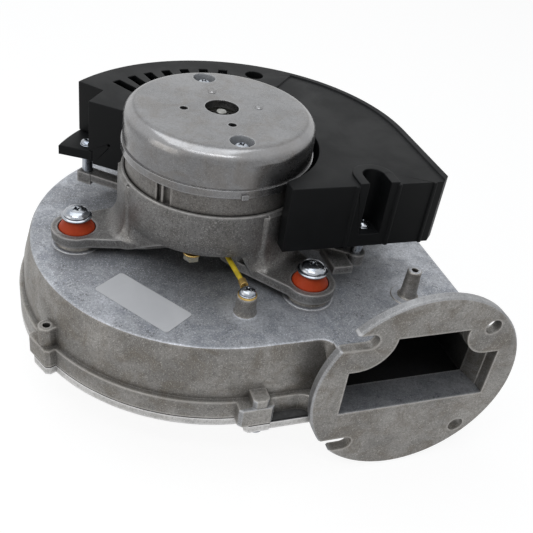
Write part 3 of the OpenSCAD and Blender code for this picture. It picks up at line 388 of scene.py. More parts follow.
@dataclass(frozen=True)
class CastFinish:
    """Die-cast aluminium: grey with clouds, stains, clusters of dark flecks, fine grit with painted glints, painted
    shade in crevices, and rubbed edges with a painted highlight.
    """

    name: str
    base: Colour
    stain: Colour
    cloud: float = 0.16
    stains: float = 0.45
    flecks: float = 0.4
    # Share of the dark grit and of the painted glints.
    grit: float = 0.4
    flow: float = 0.14
    metallic: float = 0.6
    rough: tuple[float, float] = (0.4, 0.56)
    grain: float = 0.00006
    round_mm: float = 0.7
    # Share of the lighter convex edges: rubbed wear with a painted highlight.
    rub_and_highlight: float = 0.6
    # Share of the painted shade that darkens corners and crevices.
    crevice_shade: float = 0.65
    # Share of a painted highlight on faces that lean between level and upright, which are also made a little smoother.
    polish_and_highlight: float = 0.0
    halos: tuple[tuple[float, float, float], ...] = ()
    # Soot with painted shadow round the motor's foot: inner radius, outer radius and share.
    dim: Optional[tuple[float, float, float]] = None
    dim_spot: tuple[float, float] = (0.0, 0.0)
    # Painted shade deep inside: range of Y in millimetres over which faces darken to near black.
    deep: Optional[tuple[float, float]] = None

    def tone(self, factor: float) -> Colour:
        """The base colour, lighter or darker.

        Args:
            factor: Share of the base colour.

        Returns:
            The colour.
        """
        return tuple(min(1.0, factor * c) for c in self.base)

    def material(self) -> Material:
        """Builds the material.

        Returns:
            The material.
        """
        s = Shader(self.name)
        clouds = s.noise(36.0, 5.0, 0.6, 0.5)
        blots = s.noise(190.0, 5.0, 0.66, 0.3)
        grit = s.noise(800.0, 4.0, 0.75)
        spark = s.noise(1900.0, 2.0, 0.6)
        flow = s.noise(70.0, 5.0, 0.62, 1.6, s.stretched((1.0, 0.3, 1.0), (0, 0, 35)))
        colour = s.mix(s.ramp(clouds, 0.34, 0.68), self.tone(1.0 - self.cloud), self.tone(1.0 + 0.5 * self.cloud))
        tinted = s.math("MULTIPLY", s.ramp(s.noise(85.0, 5.0, 0.65, 0.8), 0.42, 0.68), self.stains)
        colour = s.mix(tinted, colour, self.stain)
        colour = s.mix(s.ramp(flow, 0.56, 0.72, 0.0, self.flow), colour, self.tone(1.8))
        where = s.math("MULTIPLY", s.ramp(blots, 0.44, 0.66), s.ramp(clouds, 0.34, 0.62, 1.0, 0.3))
        dots = s.math("MULTIPLY", where, s.dots(820.0, 0.75))
        # Soot and painted shadow, darker on the plate round the motor's foot.
        if self.dim:
            inner, outer, share = self.dim
            middle = tuple(c * MM for c in self.dim_spot)
            patchy = s.ramp(blots, 0.3, 0.62, share, 0.45 * share)
            soot_and_shadow = s.math("MULTIPLY", s.near(middle, inner * MM, outer * MM), patchy)
            colour = s.mix(soot_and_shadow, colour, self.tone(0.3))
        for x, y, r in self.halos:
            ring = s.near((x * MM, y * MM), r * MM, (r + 5.0) * MM)
            halo = s.math("MULTIPLY", ring, s.ramp(blots, 0.3, 0.6, 0.5, 0.9))
            colour = s.mix(s.math("MULTIPLY", halo, 0.6), colour, self.tone(1.35))
            dots = s.math("MULTIPLY", dots, s.math("SUBTRACT", 1.0, halo))
        colour = s.mix(s.math("MULTIPLY", dots, self.flecks), colour, self.tone(0.25))
        colour = s.mix(s.ramp(grit, 0.34, 0.54, self.grit, 0.0), colour, self.tone(0.4))
        colour = s.mix(s.math("MULTIPLY", s.dots(1100.0, 0.5), 0.6 * self.grit), colour, self.tone(0.45))
        # Painted glints: sparse bright specks in the colour.
        colour = s.mix(s.ramp(spark, 0.54, 0.7, 0.0, self.grit), colour, self.tone(2.0))
        # Painted shade: darker in corners and crevices, from ambient occlusion.
        colour = s.mix(s.ramp(s.crevice(0.005), 0.25, 0.85, self.crevice_shade, 0.0), colour, self.tone(0.14))
        # Convex edges made lighter: rubbed wear with a painted highlight.
        rub_and_highlight = s.math("MULTIPLY", s.convex_edge(2.0 * self.round_mm * MM), s.ramp(blots, 0.3, 0.6, 0.35, self.rub_and_highlight))
        colour = s.mix(rub_and_highlight, colour, self.tone(2.4))
        rough = s.ramp(s.math("ADD", clouds, s.math("MULTIPLY", grit, 0.4)), 0.45, 0.9, self.rough[1], self.rough[0])
        # Painted shade: faces darken to near black further inside the volute.
        if self.deep:
            parts = s.add("ShaderNodeSeparateXYZ")
            s.link(s.coords, parts.inputs[0])
            inward = s.ramp(parts.outputs["Y"], self.deep[0] * MM, self.deep[1] * MM, 0.0, 0.96)
            colour = s.mix(inward, colour, self.tone(0.03))
        # Painted highlight band on the leaning faces, with a slightly smoother finish there.
        if self.polish_and_highlight:
            polish_highlight_band = s.math("MULTIPLY", s.tilted(), s.ramp(clouds, 0.3, 0.6, 0.7, 1.0))
            colour = s.mix(s.math("MULTIPLY", polish_highlight_band, self.polish_and_highlight), colour, self.tone(2.6))
            rough = s.math("SUBTRACT", rough, s.math("MULTIPLY", polish_highlight_band, 0.04))
        height = s.math("ADD", s.math("MULTIPLY", grit, 0.8), s.math("MULTIPLY", blots, 1.2))
        s.set(Base_Color=colour, Metallic=self.metallic, Roughness=rough,
              Normal=s.bump(height, self.grain, s.soft_edges(self.round_mm * MM)))
        return s.material


@dataclass(frozen=True)
class PlasticFinish:
    """Moulded plastic with a fine spark-eroded grain."""

    name: str
    base: Colour
    bloom: Colour
    rough: tuple[float, float] = (0.5, 0.65)
    grain: float = 0.00003
    round_mm: float = 0.5
    coat: float = 0.0
    shine: float = 0.4

    def material(self) -> Material:
        """Builds the material.

        Returns:
            The material.
        """
        s = Shader(self.name)
        fine = s.noise(1400.0, 2.0, 0.6)
        haze = s.noise(45.0, 4.0, 0.6, 0.4)
        scuff = s.noise(160.0, 3.0, 0.7, 0.5, s.stretched((1.0, 0.15, 1.0), (0, 0, 20)))
        colour = s.mix(s.ramp(haze, 0.35, 0.7), self.base, self.bloom)
        colour = s.mix(s.ramp(scuff, 0.62, 0.78, 0.0, 0.35), colour, tuple(1.6 * c for c in self.bloom))
        edge = s.math("MULTIPLY", s.convex_edge(self.round_mm * MM), 0.35)
        colour = s.mix(edge, colour, tuple(2.2 * c for c in self.bloom))
        s.set(Base_Color=colour, Roughness=s.ramp(haze, 0.3, 0.7, self.rough[0], self.rough[1]),
              Coat_Weight=self.coat, Specular_IOR_Level=self.shine,
              Normal=s.bump(fine, self.grain, s.soft_edges(self.round_mm * MM)))
        return s.material


@dataclass(frozen=True)
class RubberFinish:
    """Soft moulded rubber or fibre sheet."""

    name: str
    base: Colour
    worn: Colour
    rough: float = 0.6
    grain: float = 0.00004
    glow: float = 0.0
    round_mm: float = 0.5
    shine: float = 0.5

    def material(self) -> Material:
        """Builds the material.

        Returns:
            The material.
        """
        s = Shader(self.name)
        fine = s.noise(800.0, 3.0, 0.6)
        dust = s.noise(180.0, 4.0, 0.65)
        colour = s.mix(s.ramp(dust, 0.4, 0.75), self.base, self.worn)
        # Painted shade: darker in corners and crevices, from ambient occlusion.
        colour = s.mix(s.ramp(s.crevice(0.004), 0.2, 0.85, 0.6, 0.0), colour, tuple(0.25 * c for c in self.base))
        s.set(Base_Color=colour, Roughness=s.ramp(dust, 0.3, 0.7, self.rough - 0.1, self.rough + 0.1),
              Specular_IOR_Level=self.shine, Subsurface_Weight=self.glow, Subsurface_Radius=(0.002, 0.0006, 0.0003),
              Normal=s.bump(fine, self.grain, s.soft_edges(self.round_mm * MM)))
        return s.material


@dataclass(frozen=True)
class MetalFinish:
    """Plated, turned or pressed metal with fine tool marks."""

    name: str
    base: Colour
    stain: Colour
    metallic: float = 1.0
    rough: tuple[float, float] = (0.18, 0.34)
    marks: Point = (1.0, 1.0, 12.0)
    grain: float = 0.000012
    round_mm: float = 0.25
    # Painted shade in corners and crevices: its share and its reach in millimetres.
    crevice_shade: tuple[float, float] = (0.45, 2.5)

    def material(self) -> Material:
        """Builds the material.

        Returns:
            The material.
        """
        s = Shader(self.name)
        patch = s.noise(260.0, 4.0, 0.6, 0.5)
        lines = s.noise(500.0, 3.0, 0.6, 0.0, s.stretched(self.marks))
        colour = s.mix(s.ramp(patch, 0.45, 0.75), self.base, self.stain)
        # Painted shade: darker in corners and crevices, from ambient occlusion.
        crevice_shaded = s.ramp(s.crevice(self.crevice_shade[1] * MM), 0.2, 0.85, self.crevice_shade[0], 0.0)
        colour = s.mix(crevice_shaded, colour, tuple(0.3 * c for c in self.stain))
        s.set(Base_Color=colour, Metallic=self.metallic,
              Roughness=s.ramp(s.math("ADD", patch, lines), 0.7, 1.3, self.rough[0], self.rough[1]),
              Normal=s.bump(lines, self.grain, s.soft_edges(self.round_mm * MM)))
        return s.material


@dataclass(frozen=True)
class WireFinish:
    """Insulated wire with a stripe along it, on the wire's own UV map."""

    name: str
    base: Colour
    stripe: Colour
    turn: float = 0.62

    def material(self) -> Material:
        """Builds the material.

        Returns:
            The material.
        """
        s = Shader(self.name)
        uv = s.add("ShaderNodeUVMap", uv_map="wire").outputs[0]
        parts = s.add("ShaderNodeSeparateXYZ")
        s.link(uv, parts.inputs[0])
        round_it = s.math("FRACT", s.math("ADD", parts.outputs["Y"], self.turn))
        band = s.math("ABSOLUTE", s.math("SUBTRACT", round_it, 0.5))
        smear = s.noise(300.0, 3.0)
        colour = s.mix(s.ramp(smear, 0.4, 0.7), self.base, tuple(0.75 * c for c in self.base))
        colour = s.mix(s.ramp(band, 0.14, 0.16, 1.0, 0.0), colour, self.stripe)
        s.set(Base_Color=colour, Roughness=s.ramp(smear, 0.3, 0.7, 0.32, 0.45),
              Normal=s.bump(s.noise(700.0, 2.0), 0.00003))
        return s.material


class Finishes:
    """All finishes of the blower, built once and looked up by slot."""

    def __init__(self) -> None:
        """Builds every material."""
        made = (
            CastFinish("housing_casting", (0.297, 0.287, 0.272), (0.185, 0.165, 0.14), 0.26, 0.85, 0.45, 0.5,
                       rub_and_highlight=0.45),
            # Plate top, with soot and painted shadow round the motor's foot.
            CastFinish("housing_plate", (0.46, 0.475, 0.51), (0.22, 0.24, 0.28), 0.32, 0.65, 0.9, 0.5, 0.3,
                       halos=PLATE_HALOS, dim=(42.0, 80.0, 0.75), dim_spot=(-15.0, 7.0)),
            # Darker copy of the housing casting for faces inside the volute: painted shade, deepening inwards.
            CastFinish("housing_inside_shaded", (0.24, 0.235, 0.23), (0.15, 0.14, 0.13), rub_and_highlight=0.2, deep=(-98.0, -62.0)),
            # Lighter copy of the housing casting for the outlet flange's rim: painted highlight.
            CastFinish("flange_rim_lit", (0.325, 0.328, 0.335), (0.24, 0.24, 0.245), 0.16, 0.4, 0.3, 0.4, crevice_shade=0.3),
            # Near-black finish for the bottom cover's inner floor: painted shade.
            CastFinish("cover_floor_shade", (0.04, 0.04, 0.042), (0.025, 0.025, 0.025), metallic=0.2),
            CastFinish("cover_casting", (0.6, 0.59, 0.58), (0.44, 0.42, 0.39)),
            CastFinish("bracket_casting", (0.21, 0.206, 0.201), (0.13, 0.122, 0.112), 0.16, 0.6, 0.4, 0.7, 0.12),
            CastFinish("shell_casting", (0.2, 0.192, 0.183), (0.135, 0.12, 0.105), 0.1, 0.5, 0.3, 0.6, 0.05),
            CastFinish("cap_casting", (0.2, 0.2, 0.204), (0.15, 0.135, 0.12), 0.12, 0.5, 0.15, 0.28, 0.12, 0.85,
                       (0.2, 0.32), 0.00003, 0.4, rub_and_highlight=0.35, crevice_shade=0.05, polish_and_highlight=0.35),
            # Lighter copy of the cap casting for the screw pockets: painted light in the recesses.
            CastFinish("cap_pocket_lit", (0.4, 0.41, 0.425), (0.3, 0.3, 0.3), 0.1, 0.3, 0.1, 0.25, metallic=0.2,
                       rub_and_highlight=0.2, crevice_shade=0.05),
            PlasticFinish("black_plastic", (0.004, 0.0045, 0.005), (0.006, 0.0065, 0.007), (0.48, 0.6), shine=0.14),
            PlasticFinish("board", (0.02, 0.11, 0.05), (0.03, 0.16, 0.08), coat=0.4),
            PlasticFinish("capacitor", (0.015, 0.02, 0.06), (0.03, 0.04, 0.1), (0.25, 0.35)),
            PlasticFinish("chip", (0.015, 0.015, 0.015), (0.03, 0.03, 0.03)),
            PlasticFinish("connector", (0.62, 0.57, 0.44), (0.7, 0.66, 0.54), (0.4, 0.5)),
            PlasticFinish("label", (0.44, 0.445, 0.46), (0.5, 0.505, 0.52), (0.38, 0.5), 0.00001),
            RubberFinish("silicone", (0.52, 0.055, 0.012), (0.6, 0.08, 0.02), 0.5, glow=0.1, shine=0.25),
            RubberFinish("gasket", (0.05, 0.05, 0.05), (0.11, 0.11, 0.11), 0.85, 0.0001),
            RubberFinish("seal", (0.09, 0.08, 0.07), (0.14, 0.13, 0.12), 0.7),
            MetalFinish("zinc_screw", (0.38, 0.4, 0.43), (0.24, 0.27, 0.32), rough=(0.12, 0.26)),
            MetalFinish("yellow_zinc", (0.4, 0.37, 0.28), (0.3, 0.31, 0.33)),
            MetalFinish("brass", (0.72, 0.5, 0.18), (0.5, 0.32, 0.1), rough=(0.25, 0.42)),
            # Bearing steel with deep painted shade inside the bearings.
            MetalFinish("bearing_steel", (0.26, 0.26, 0.245), (0.15, 0.15, 0.14), rough=(0.25, 0.4),
                        crevice_shade=(0.95, 7.0)),
            MetalFinish("lamination", (0.3, 0.31, 0.33), (0.16, 0.17, 0.19), rough=(0.4, 0.6),
                        marks=(0.2, 0.2, 8.0), grain=0.0001),
            MetalFinish("copper", (0.66, 0.24, 0.08), (0.45, 0.15, 0.05), rough=(0.22, 0.35)),
            MetalFinish("magnet", (0.09, 0.09, 0.1), (0.05, 0.05, 0.055), 0.2, (0.5, 0.7)),
            MetalFinish("wheel_sheet", (0.5, 0.51, 0.52), (0.38, 0.39, 0.4), 0.9, (0.3, 0.45)),
            WireFinish("wire", (0.78, 0.58, 0.03), (0.05, 0.25, 0.04)),
        )
        self.by_slot = {finish.name: finish.material() for finish in made}

    def __getitem__(self, slot: str) -> Material:
        """The material of a slot."""
        return self.by_slot[slot]


def stacked(name: str, stacks: Sequence[Sequence[Sequence[Vector]]]) -> Mesh:
    """Closed solids, each skinned over rings of points from its foot up.

    Args:
        name: Name of the mesh.
        stacks: Rings of each solid, in metres.

    Returns:
        The mesh of all the solids.
    """
    work = bmesh.new()
    for stack in stacks:
        rings = [[work.verts.new(p) for p in ring] for ring in stack]
        for low, high in zip(rings, rings[1:]):
            for k in range(len(low)):
                n = (k + 1) % len(low)
                work.faces.new((low[k], low[n], high[n], high[k]))
        work.faces.new(rings[-1])
        work.faces.new(list(reversed(rings[0])))
    bmesh.ops.recalc_face_normals(work, faces=work.faces)
    mesh = bpy.data.meshes.new(name)
    work.to_mesh(mesh)
    work.free()
    return mesh


class Bench:
    """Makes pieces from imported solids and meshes, and files them under their bodies."""

    def __init__(self, frame: dict) -> None:
        """Keeps the frame and builds the finishes.

        Args:
            frame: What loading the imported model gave.
        """
        self.frame = frame
        self.nodes: dict[str, Piece] = frame["nodes"]
        self.slots = {s["node"]: s["material_slot"] for s in frame["record"]["subparts"]}
        self.bodies = {n: b for b, names in frame["record"]["behaviour"]["bodies"].items() for n in names}
        self.finishes = Finishes()

    def place(self, name: str, mesh: Mesh, body: str, slot: str,
              stands_for: Sequence[str] = ()) -> Piece:
        """Makes a mesh a piece of the object.

        Args:
            name: Name of the piece.
            mesh: Its mesh, already in place.
            body: Body that it rides on.
            slot: Material slot of its finish.
            stands_for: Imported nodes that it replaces.

        Returns:
            The piece.
        """
        piece = bpy.data.objects.new(name, mesh)
        bpy.context.scene.collection.objects.link(piece)
        if not mesh.materials:
            mesh.materials.append(self.finishes[slot])
        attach(piece, body)
        if stands_for:
            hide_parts(*stands_for)
        LOG.info("%s on %s: %d faces", name, body, len(mesh.polygons))
        return piece

    def paint(self, *names: str) -> None:
        """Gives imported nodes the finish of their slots.

        Args:
            names: Nodes that are shown as they are.
        """
        for name in names:
            mesh = self.nodes[name].data
            mesh.materials.clear()
            mesh.materials.append(self.finishes[self.slots[name]])
            LOG.info("%s painted", name)

    def soften(self, node: str, width_mm: float, suffix: str = "body", weld_mm: float = 0.02,
               angle: float = 32.0, steps: int = 2, extra: Optional[Mesh] = None) -> Piece:
        """Copies a node's mesh with its corners merged and its edges rounded, to stand for the node.

        Args:
            node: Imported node.
            width_mm: Width of the rounding, 0 for none.
            suffix: End of the piece's name.
            weld_mm: Distance under which corners merge.
            angle: Angle above which an edge is sharp, in degrees.
            steps: Faces across a rounded edge.
            extra: Closed mesh that becomes one with the copy.

        Returns:
            The piece.
        """
        work = bmesh.new()
        work.from_mesh(self.nodes[node].data)
        bmesh.ops.remove_doubles(work, verts=work.verts, dist=weld_mm * MM)
        bmesh.ops.dissolve_degenerate(work, dist=weld_mm * MM, edges=work.edges)
        mesh = bpy.data.meshes.new(f"{node}_{suffix}")
        work.to_mesh(mesh)
        work.free()
        for name in ("custom_normal", "sharp_face", "sharp_edge"):
            if name in mesh.attributes:
                mesh.attributes.remove(mesh.attributes[name])
        mesh.materials.clear()
        if extra is not None:
            mesh = self.united(mesh, extra)
        mesh.shade_smooth()
        if width_mm <= 0:
            mesh.set_sharp_from_angle(angle=math.radians(angle))
        mesh = self.rounded(mesh, width_mm, angle, steps)
        return self.place(f"{node}_{suffix}", mesh, self.bodies[node], self.slots[node], [node])

    @staticmethod
    def united(mesh: Mesh, extra: Mesh) -> Mesh:
        """Makes one solid of two.

        Args:
            mesh: First closed mesh.
            extra: Second closed mesh.

        Returns:
            Their union.
        """
        holder, tool = bpy.data.objects.new("holder", mesh), bpy.data.objects.new("tool", extra)
        for thing in (holder, tool):
            bpy.context.scene.collection.objects.link(thing)
        union = holder.modifiers.new("union", "BOOLEAN")
        union.operation = "UNION"
        union.solver = "EXACT"
        union.object = tool
        made = Bench.evaluated(holder)
        made.name = mesh.name
        bpy.data.objects.remove(tool)
        return made

    @staticmethod
    def rounded(mesh: Mesh, width_mm: float, angle: float, steps: int) -> Mesh:
        """Rounds the sharp edges of a mesh and keeps the shading of its flats flat.

        Args:
            mesh: Mesh to round.
            width_mm: Width of the rounding, 0 for none.
            angle: Angle above which an edge is sharp, in degrees.
            steps: Faces across a rounded edge.

        Returns:
            The rounded mesh.
        """
        holder = bpy.data.objects.new("holder", mesh)
        bpy.context.scene.collection.objects.link(holder)
        if width_mm > 0:
            bevel = holder.modifiers.new("round", "BEVEL")
            bevel.width = width_mm * MM
            bevel.segments = steps
            bevel.limit_method = "ANGLE"
            bevel.angle_limit = math.radians(angle)
            bevel.use_clamp_overlap = False
            bevel.miter_outer = "MITER_ARC"
        flats = holder.modifiers.new("flats", "WEIGHTED_NORMAL")
        flats.keep_sharp = True
        made = Bench.evaluated(holder)
        made.name = mesh.name
        return made

    @staticmethod
    def evaluated(holder: Piece) -> Mesh:
        """Turns an object with modifiers into a plain mesh and removes the object.

        Args:
            holder: The object.

        Returns:
            The mesh with the modifiers in it.
        """
        graph = bpy.context.evaluated_depsgraph_get()
        mesh = bpy.data.meshes.new_from_object(holder.evaluated_get(graph))
        holder.modifiers.clear()
        bpy.data.objects.remove(holder)
        return mesh


class GeoTree(Nodes):
    """Builder for one Geometry Nodes tree with named inputs."""

    def __init__(self, name: str) -> None:
        """Starts a tree with a geometry input and output.

        Args:
            name: Name of the tree.
        """
        super().__init__(bpy.data.node_groups.new(name, "GeometryNodeTree"))
        self.tree.interface.new_socket("Geometry", in_out="INPUT", socket_type="NodeSocketGeometry")
        self.tree.interface.new_socket("Geometry", in_out="OUTPUT", socket_type="NodeSocketGeometry")
        self.ids: dict[str, str] = {}
        self.source = self.add("NodeGroupInput")
        self.sink = self.add("NodeGroupOutput")

    def number(self, name: str, kind: str = "NodeSocketFloat") -> Socket:
        """Adds a named input.

        Args:
            name: Name of the input.
            kind: Socket type.

        Returns:
            The output of the group's input node.
        """
        socket = self.tree.interface.new_socket(name, in_out="INPUT", socket_type=kind)
        self.ids[name] = socket.identifier
        return self.source.outputs[name]

    def vector(self, x: object = 0.0, y: object = 0.0, z: object = 0.0) -> Socket:
        """A vector from three numbers or sockets."""
        return self.step("ShaderNodeCombineXYZ", X=x, Y=y, Z=z)

    def end(self, geometry: Socket, material: Socket) -> None:
        """Realizes the instances, sets the material and closes the tree.

        Args:
            geometry: Result with instances.
            material: Material socket.
        """
        real = self.step("GeometryNodeRealizeInstances", Geometry=geometry)
        done = self.step("GeometryNodeSetMaterial", Geometry=real, Material=material)
        self.link(done, self.sink.inputs[0])

    def run(self, points: Sequence[tuple[Point, Point]], values: dict[str, object]) -> Mesh:
        """Runs the tree on points, each with a turn, and gives a plain mesh.

        Args:
            points: Places in metres, each with its turn about X, Y and Z in radians.
            values: Inputs by name.

        Returns:
            The mesh.
        """
        base = bpy.data.meshes.new("seats")
        base.from_pydata([p for p, _ in points], [], [])
        turns = base.attributes.new("turn", "FLOAT_VECTOR", "POINT")
        for row, (_, turn) in zip(turns.data, points):
            row.vector = turn
        return self.apply(base, values)

    def apply(self, base: Mesh, values: dict[str, object]) -> Mesh:
        """Runs the tree on a mesh and gives a plain mesh.

        Args:
            base: Mesh that the tree starts from.
            values: Inputs by name.

        Returns:
            The mesh.
        """
        holder = bpy.data.objects.new("holder", base)
        modifier = holder.modifiers.new("tree", "NODES")
        modifier.node_group = self.tree
        for name, value in values.items():
            modifier[self.ids[name]] = value
        bpy.context.scene.collection.objects.link(holder)
        return Bench.evaluated(holder)


class WireTree(GeoTree):
    """Round wire swept along paths of linked points."""

    def __init__(self) -> None:
        """Builds the tree."""
        super().__init__("wire")
        radius, sides = self.number("Wire Radius"), self.number("Sides", "NodeSocketInt")
        material = self.number("Material", "NodeSocketMaterial")
        path = self.step("GeometryNodeMeshToCurve", Mesh=self.source.outputs[0])
        section = self.step("GeometryNodeCurvePrimitiveCircle", {"mode": "RADIUS"}, Radius=radius, Resolution=sides)
        swept = self.step("GeometryNodeCurveToMesh", Curve=path, Profile_Curve=section, Fill_Caps=True)
        self.end(self.step("GeometryNodeSetShadeSmooth", Geometry=swept), material)

    def sweep(self, paths: Sequence[Sequence[Vector]], radius_mm: float, sides: int, material: Material,
              closed: bool = False) -> Mesh:
        """Sweeps wire along paths.

        Args:
            paths: Points of each path, in millimetres.
            radius_mm: Radius of the wire.
            sides: Sides of its section.
            material: Its material.
            closed: Whether each path ends where it starts.

        Returns:
            The mesh.
        """
        points, links = [], []
        for path in paths:
            first = len(points)
            points += [p * MM for p in path]
            links += [(k, k + 1) for k in range(first, len(points) - 1)]
            if closed:
                links.append((len(points) - 1, first))
        base = bpy.data.meshes.new("paths")
        base.from_pydata(points, links, [])
        return self.apply(base, {"Wire Radius": radius_mm * MM, "Sides": sides, "Material": material})


class ScrewTree(GeoTree):
    """Domed screws on points: a turned head and shank, with a cross recess cut into the head."""

    def __init__(self) -> None:
        """Builds the tree."""
        super().__init__("screws")
        head_r, head_h = self.number("Head Radius"), self.number("Head Height")
        shank_r, shank_l = self.number("Shank Radius"), self.number("Shank Length")
        flange = self.number("Flange Share")
        wide, deep = self.number("Recess Width"), self.number("Recess Depth")
        material = self.number("Material", "NodeSocketMaterial")
        turned = self.turned_body(head_r, head_h, shank_r, shank_l, flange)
        cut = self.cross_cutter(head_h, wide, deep)
        node = self.add("GeometryNodeMeshBoolean", operation="DIFFERENCE", solver="EXACT")
        self.link(turned, node.inputs[0])
        self.link(cut, node.inputs[1])
        turn = self.add("GeometryNodeInputNamedAttribute", data_type="FLOAT_VECTOR")
        turn.inputs["Name"].default_value = "turn"
        spin = self.step("FunctionNodeEulerToRotation", Euler=turn.outputs[0])
        placed = self.step("GeometryNodeInstanceOnPoints", Points=self.source.outputs[0],
                           Instance=node.outputs[0], Rotation=spin)
        self.end(placed, material)

    def curve(self, share: Socket, stops: Sequence[tuple[float, float]]) -> Socket:
        """Piecewise straight curve from 0 to 1.

        Args:
            share: Input from 0 to 1.
            stops: Places and heights of its corners.

        Returns:
            The height.
        """
        node = self.add("ShaderNodeFloatCurve")
        line = node.mapping.curves[0]
        while len(line.points) < len(stops):
            line.points.new(0.5, 0.5)
        for point, (x, y) in zip(line.points, stops):
            point.location = (x, y)
            point.handle_type = "VECTOR"
        node.mapping.update()
        self.put(node.inputs["Value"], share)
        return node.outputs[0]

    def turned_body(self, head_r: Socket, head_h: Socket, shank_r: Socket,
                    shank_l: Socket, flange: Socket) -> Socket:
        """Turned solid: dome, flange and shank, seat at z = 0.

        Args:
            head_r: Radius of the head's flange.
            head_h: Height of the head.
            shank_r: Radius of the shank.
            shank_l: Length of the shank.
            flange: Radius of the dome as a share of the flange's.

        Returns:
            The closed mesh.
        """
        grid = self.step("GeometryNodeMeshGrid", Size_X=1.0, Size_Y=1.0, Vertices_X=41, Vertices_Y=49)
        at = self.add("ShaderNodeSeparateXYZ")
        self.put(at.inputs[0], self.add("GeometryNodeInputPosition").outputs[0])
        share = self.math("ADD", at.outputs["X"], 0.5)
        turn = self.math("MULTIPLY", self.math("ADD", at.outputs["Y"], 0.5), math.tau)
        dome = [(0, 0), (0.1, 0.35), (0.2, 0.62), (0.3, 0.82), (0.4, 0.95), (0.45, 1), (0.5, 1), (0.75, 0), (1, 0)]
        brim = [(0, 0), (0.45, 0), (0.5, 0.0), (0.55, 0.92), (0.6, 1), (0.65, 1), (0.7, 0), (1, 0)]
        inner = [(0, 0), (0.5, 0), (0.55, 0), (0.65, 0), (0.7, 1), (0.9, 1), (0.95, 0.75), (1, 0)]
        rise = [(0, 1), (0.1, 0.98), (0.2, 0.9), (0.3, 0.76), (0.4, 0.56), (0.45, 0.4), (0.5, 0.34), (0.55, 0.24),
                (0.6, 0.16), (0.65, 0), (1, 0)]
        drop = [(0, 0), (0.7, 0), (0.9, 0.94), (0.95, 1), (1, 1)]
        out = self.math("MULTIPLY", self.curve(share, dome), self.math("MULTIPLY", head_r, flange))
        out = self.math("MAXIMUM", out, self.math("MULTIPLY", self.curve(share, brim), head_r))
        out = self.math("MAXIMUM", out, self.math("MULTIPLY", self.curve(share, inner), shank_r))
        high = self.math("SUBTRACT", self.math("MULTIPLY", self.curve(share, rise), head_h),
                         self.math("MULTIPLY", self.curve(share, drop), shank_l))
        place = self.vector(self.math("MULTIPLY", out, self.math("COSINE", turn)),
                            self.math("MULTIPLY", out, self.math("SINE", turn)), high)
        moved = self.step("GeometryNodeSetPosition", Geometry=grid, Position=place)
        merged = self.step("GeometryNodeMergeByDistance", Geometry=moved, Distance=0.00001)
        return self.step("GeometryNodeSetShadeSmooth", Geometry=merged)

    def cross_cutter(self, head_h: Socket, wide: Socket,
                     deep: Socket) -> Socket:
        """Two crossed wedges that cut the recess.

        Args:
            head_h: Height of the head.
            wide: Width of the recess across its arms.
            deep: Depth of the recess.

        Returns:
            The cutter.
        """
        thin = self.math("MULTIPLY", wide, 0.24)
        tall = self.math("MULTIPLY", deep, 2.0)
        lift = self.vector(0.0, 0.0, head_h)
        arms = []
        for size in (self.vector(wide, thin, tall), self.vector(thin, wide, tall)):
            box = self.step("GeometryNodeMeshCube", Size=size)
            arms.append(self.step("GeometryNodeTransform", Geometry=box, Translation=lift))
        core = self.step("GeometryNodeMeshCone", Vertices=8, Radius_Top=self.math("MULTIPLY", wide, 0.36),
                         Radius_Bottom=self.math("MULTIPLY", wide, 0.1), Depth=deep)
        arms.append(self.step("GeometryNodeTransform", Geometry=core,
                              Translation=self.vector(0.0, 0.0, self.math("SUBTRACT", head_h, deep))))
        node = self.add("GeometryNodeMeshBoolean", operation="UNION", solver="EXACT")
        for arm in arms:
            self.link(arm, node.inputs[1])
        return node.outputs[0]


@dataclass
class ScrewSet:
    """One kind of screw at its seats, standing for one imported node."""

    node: str
    seats: Sequence[Point]
    head_r: float
    head_h: float
    shank_r: float
    shank_l: float
    flange: float = 0.82
    down: bool = False
    turns: Sequence[float] = (0.0,)
    recess_share: float = 0.85

    def build(self, bench: Bench, tree: ScrewTree) -> Piece:
        """Makes the screws.

        Args:
            bench: The bench.
            tree: The screw tree.

        Returns:
            The piece.
        """
        flip = math.pi if self.down else 0.0
        points = []
        for i, seat in enumerate(self.seats):
            turn = math.radians(self.turns[i % len(self.turns)])
            points.append((tuple(MM * c for c in seat), (flip, 0.0, turn)))
        wide = self.recess_share * self.head_r * self.flange
        mesh = tree.run(points, {
            "Head Radius": self.head_r * MM, "Head Height": self.head_h * MM, "Shank Radius": self.shank_r * MM,
            "Shank Length": self.shank_l * MM, "Flange Share": self.flange, "Recess Width": wide * MM,
            "Recess Depth": 0.55 * self.head_h * MM, "Material": bench.finishes[bench.slots[self.node]],
        })
        mesh.set_sharp_from_angle(angle=math.radians(38))
        return bench.place(f"{self.node}_turned", mesh, bench.bodies[self.node], bench.slots[self.node], [self.node])


